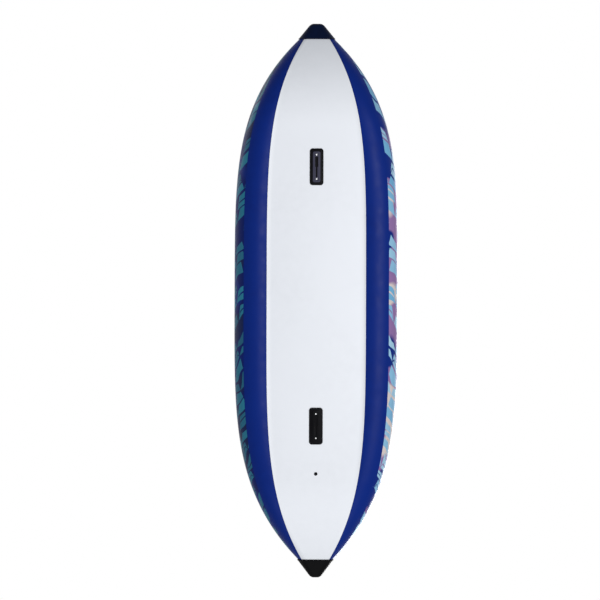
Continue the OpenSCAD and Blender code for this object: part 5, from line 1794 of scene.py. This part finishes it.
class KAYAK_OT_patches(Maker, bpy.types.Operator):
    """Makes the welded patches under the straps and the side handles."""

    bl_idname = "kayak.patches"
    bl_label = "Patches"
    # Size of a patch's face over that of its foot
    taper = 0.985

    def execute(self, context):
        o = outfit()
        lift = hull().cover_fit + o.patch_t
        cloth = pvc("patch_pvc", tone("navy", 0.75), tone("tube_navy"), amount=0.5)
        straps = [x + reach for x in SEATS.values() for reach in (o.front_reach, -o.rear_reach)]
        for name, node, places, a in (
            ("strap_patches", "seat_strap_patches", straps, -o.strap_angle),
            ("handle_patches", "side_handle_patches", (-o.handle_half, o.handle_half), o.handle_angle),
        ):
            pieces = []
            for x in places:
                for side in SIDES.values():
                    face, foot = self.grid(x, a, lift, side, self.taper), self.grid(x, a, HAIR, side, 1.0)
                    pieces.append(skin("patch", face, foot, cloth))
            settle(joined(name, pieces), "patch_pvc", node)
        return {"FINISHED"}

    def grid(self, x0, a0, lift, side, shrink):
        o, shares = outfit(), steps(-1, 1, 22)
        rows = []
        for u in shares:
            row = []
            for v in reversed(shares):
                x = x0 + shrink * o.patch_rx * u * math.sqrt(1 - v * v / 2)
                a = a0 + shrink * o.patch_ry * v * math.sqrt(1 - u * u / 2) / tube_r(x0)
                row.append(on_tube(x, a, lift, side))
            rows.append(row)
        return rows


class KAYAK_OT_handles(Maker, bpy.types.Operator):
    """Makes the carry handles: sewn webbing with a ribbed rubber grip."""

    bl_idname = "kayak.handles"
    bl_label = "Handles"
    # Where a side handle's rise ends, its webbing comes down and its webbing ends, from its middle
    side_route = (0.064, 0.1, 0.15)
    # Angles from the top of a tube, along an end handle's sewn ends
    end_turns = tuple(math.radians(a) for a in (9, 0, -9))
    end_fit = 0.0009

    def execute(self, context):
        o = outfit()
        top, foot, tail = self.side_route
        route = [(-tail, 0), (-foot, 0), (-top, o.handle_rise), (top, o.handle_rise), (foot, 0), (tail, 0)]
        for name, side in SIDES.items():
            points = [on_tube(x, o.handle_angle, sewn_lift() + rise, side) for x, rise in route]
            across = around_tube(o.handle_angle, side)
            self.webbing(name, points, across)
            middle = on_tube(0, o.handle_angle, sewn_lift() + o.handle_rise, side)
            self.grip(name, middle, Vector((1, 0, 0)), across)
            lines = [p for x in (-o.handle_half, o.handle_half) for p in self.box_of(x, across, side)]
            stitched(f"{name}_handle_stitches", lines)
        for name, way in ENDS.items():
            x = way * o.end_handle
            lift = skin_lift() + self.end_fit + o.strap_t / 2
            top = Vector((x, 0, tube_z(x) + tube_r(x) + lift + o.handle_rise))
            half = Vector((0, o.grip_l / 2 + o.strap_t, 0))
            port = [on_tube(x, a, lift, 1) for a in self.end_turns]
            starboard = [on_tube(x, a, lift, -1) for a in reversed(self.end_turns)]
            reach = o.handle_w / 2
            rise = tube_z(x + reach) + tube_r(x + reach) - tube_z(x - reach) - tube_r(x - reach)
            slope = Vector((2 * reach, 0, rise)).normalized()
            self.webbing(name, port + [top + half, top - half] + starboard, slope)
            self.grip(name, top, Vector((0, 1, 0)), slope)
        return {"FINISHED"}

    def webbing(self, name, points, across):
        band = webbing_band(f"{name}_handle_webbing", cut_corners(points), across, outfit().handle_w)
        settle(band, "webbing", f"{name}_handle_strap")

    def box_of(self, x, across, side):
        a = outfit().handle_angle
        out = (on_tube(x, a, 1, side) - on_tube(x, a, 0, side)).normalized() * STITCH_LIFT

        def spot(u, v):
            return on_tube(x + u, a, sewn_lift(), side) + across * v + out

        return stitch_box(spot, half_l=0.02, half_w=0.0085)

    def grip(self, name, middle, along, across):
        o = outfit()
        made = grown(f"{name}_grip", grip_tree(), {
            "Length": o.grip_l, "Radius": o.grip_d / 2, "Pitch": o.grip_pitch, "Groove": 0.11,
            "Finish": grip_rubber(),
        })
        up = along.cross(across)
        turn = Matrix((along, up.cross(along), up)).transposed().to_4x4()
        made.data.transform(Matrix.Translation(middle) @ turn)
        settle(made, "grip_rubber", f"{name}_handle_grip")


class KAYAK_OT_tow_rings(Maker, bpy.types.Operator):
    """Makes the tow rings on the decks and the bases that hold them."""

    bl_idname = "kayak.tow_rings"
    bl_label = "Tow rings"

    def execute(self, context):
        o, across, tip_depth = outfit(), Vector((0, 1, 0)), 0.0012
        joints = {j["name"]: j for j in frame["joints"]}
        for name, way in ENDS.items():
            base, node = f"{name}_ring_base", f"{name}_tow_ring"
            settle(dressed_copy(base, f"{name}_ring_seat", black_plastic(), segments=3), "webbing", base)
            axis = Vector(joints[f"{name}_ring_swing"]["pos_m"])
            low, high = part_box(node)
            far = high.x if way > 0 else low.x
            ends = [v.co for v in frame["nodes"][node].data.vertices if abs(v.co.x - far) < tip_depth]
            tip = sum(ends, Vector()) / len(ends)
            out = (Vector((tip.x, 0, tip.z)) - axis).normalized()
            path = [axis + (out * c + across * s) * o.ring_r for c, s in arc(-90, 180, 48)]
            path += [axis + across * o.ring_r * t for t in steps(1, -1, 24)[1:-1]]
            ring = rod(f"{name}_steel_ring", path, o.ring_wire / 2, steel_finish(), sides=16, closed=True)
            settle(ring, "steel", node, body=node)
        return {"FINISHED"}


PROPERTY_GROUPS = {
    "kayak_hull": KAYAK_PG_hull, "kayak_outfit": KAYAK_PG_outfit, "kayak_colours": KAYAK_PG_colours,
}
MAKERS = (
    KAYAK_OT_stage, KAYAK_OT_side_tubes, KAYAK_OT_bottom_skins, KAYAK_OT_decks, KAYAK_OT_nose_caps,
    KAYAK_OT_floor, KAYAK_OT_fin_boxes, KAYAK_OT_drain, KAYAK_OT_valves, KAYAK_OT_patches, KAYAK_OT_seats,
    KAYAK_OT_straps, KAYAK_OT_handles, KAYAK_OT_tow_rings,
)


class KAYAK_PT_panel(bpy.types.Panel):
    """Lists the kayak's makers and the values that they use."""

    bl_idname = "KAYAK_PT_panel"
    bl_label = "Kayak"
    bl_space_type = "VIEW_3D"
    bl_region_type = "UI"
    bl_category = "Kayak"

    def draw(self, context):
        for maker in MAKERS:
            self.layout.operator(maker.bl_idname)
        for name in PROPERTY_GROUPS:
            group = getattr(context.scene, name)
            box = self.layout.box()
            for key in group.bl_rna.properties.keys():
                if key not in ("rna_type", "name"):
                    box.prop(group, key)


CLASSES = (*PROPERTY_GROUPS.values(), *MAKERS, KAYAK_PT_panel)


def register():
    for cls in CLASSES:
        bpy.utils.register_class(cls)
    for name, group in PROPERTY_GROUPS.items():
        setattr(bpy.types.Scene, name, PointerProperty(type=group))


def unregister():
    for name in PROPERTY_GROUPS:
        delattr(bpy.types.Scene, name)
    for cls in reversed(CLASSES):
        bpy.utils.unregister_class(cls)


def main():
    register()
    ops = bpy.ops.kayak
    ops.stage()
    ops.side_tubes()
    ops.bottom_skins()
    ops.decks()
    ops.nose_caps()
    ops.floor()
    ops.fin_boxes()
    ops.drain()
    ops.valves()
    ops.patches()
    ops.seats()
    ops.straps()
    ops.handles()
    ops.tow_rings()


if __name__ == "__main__":
    main()
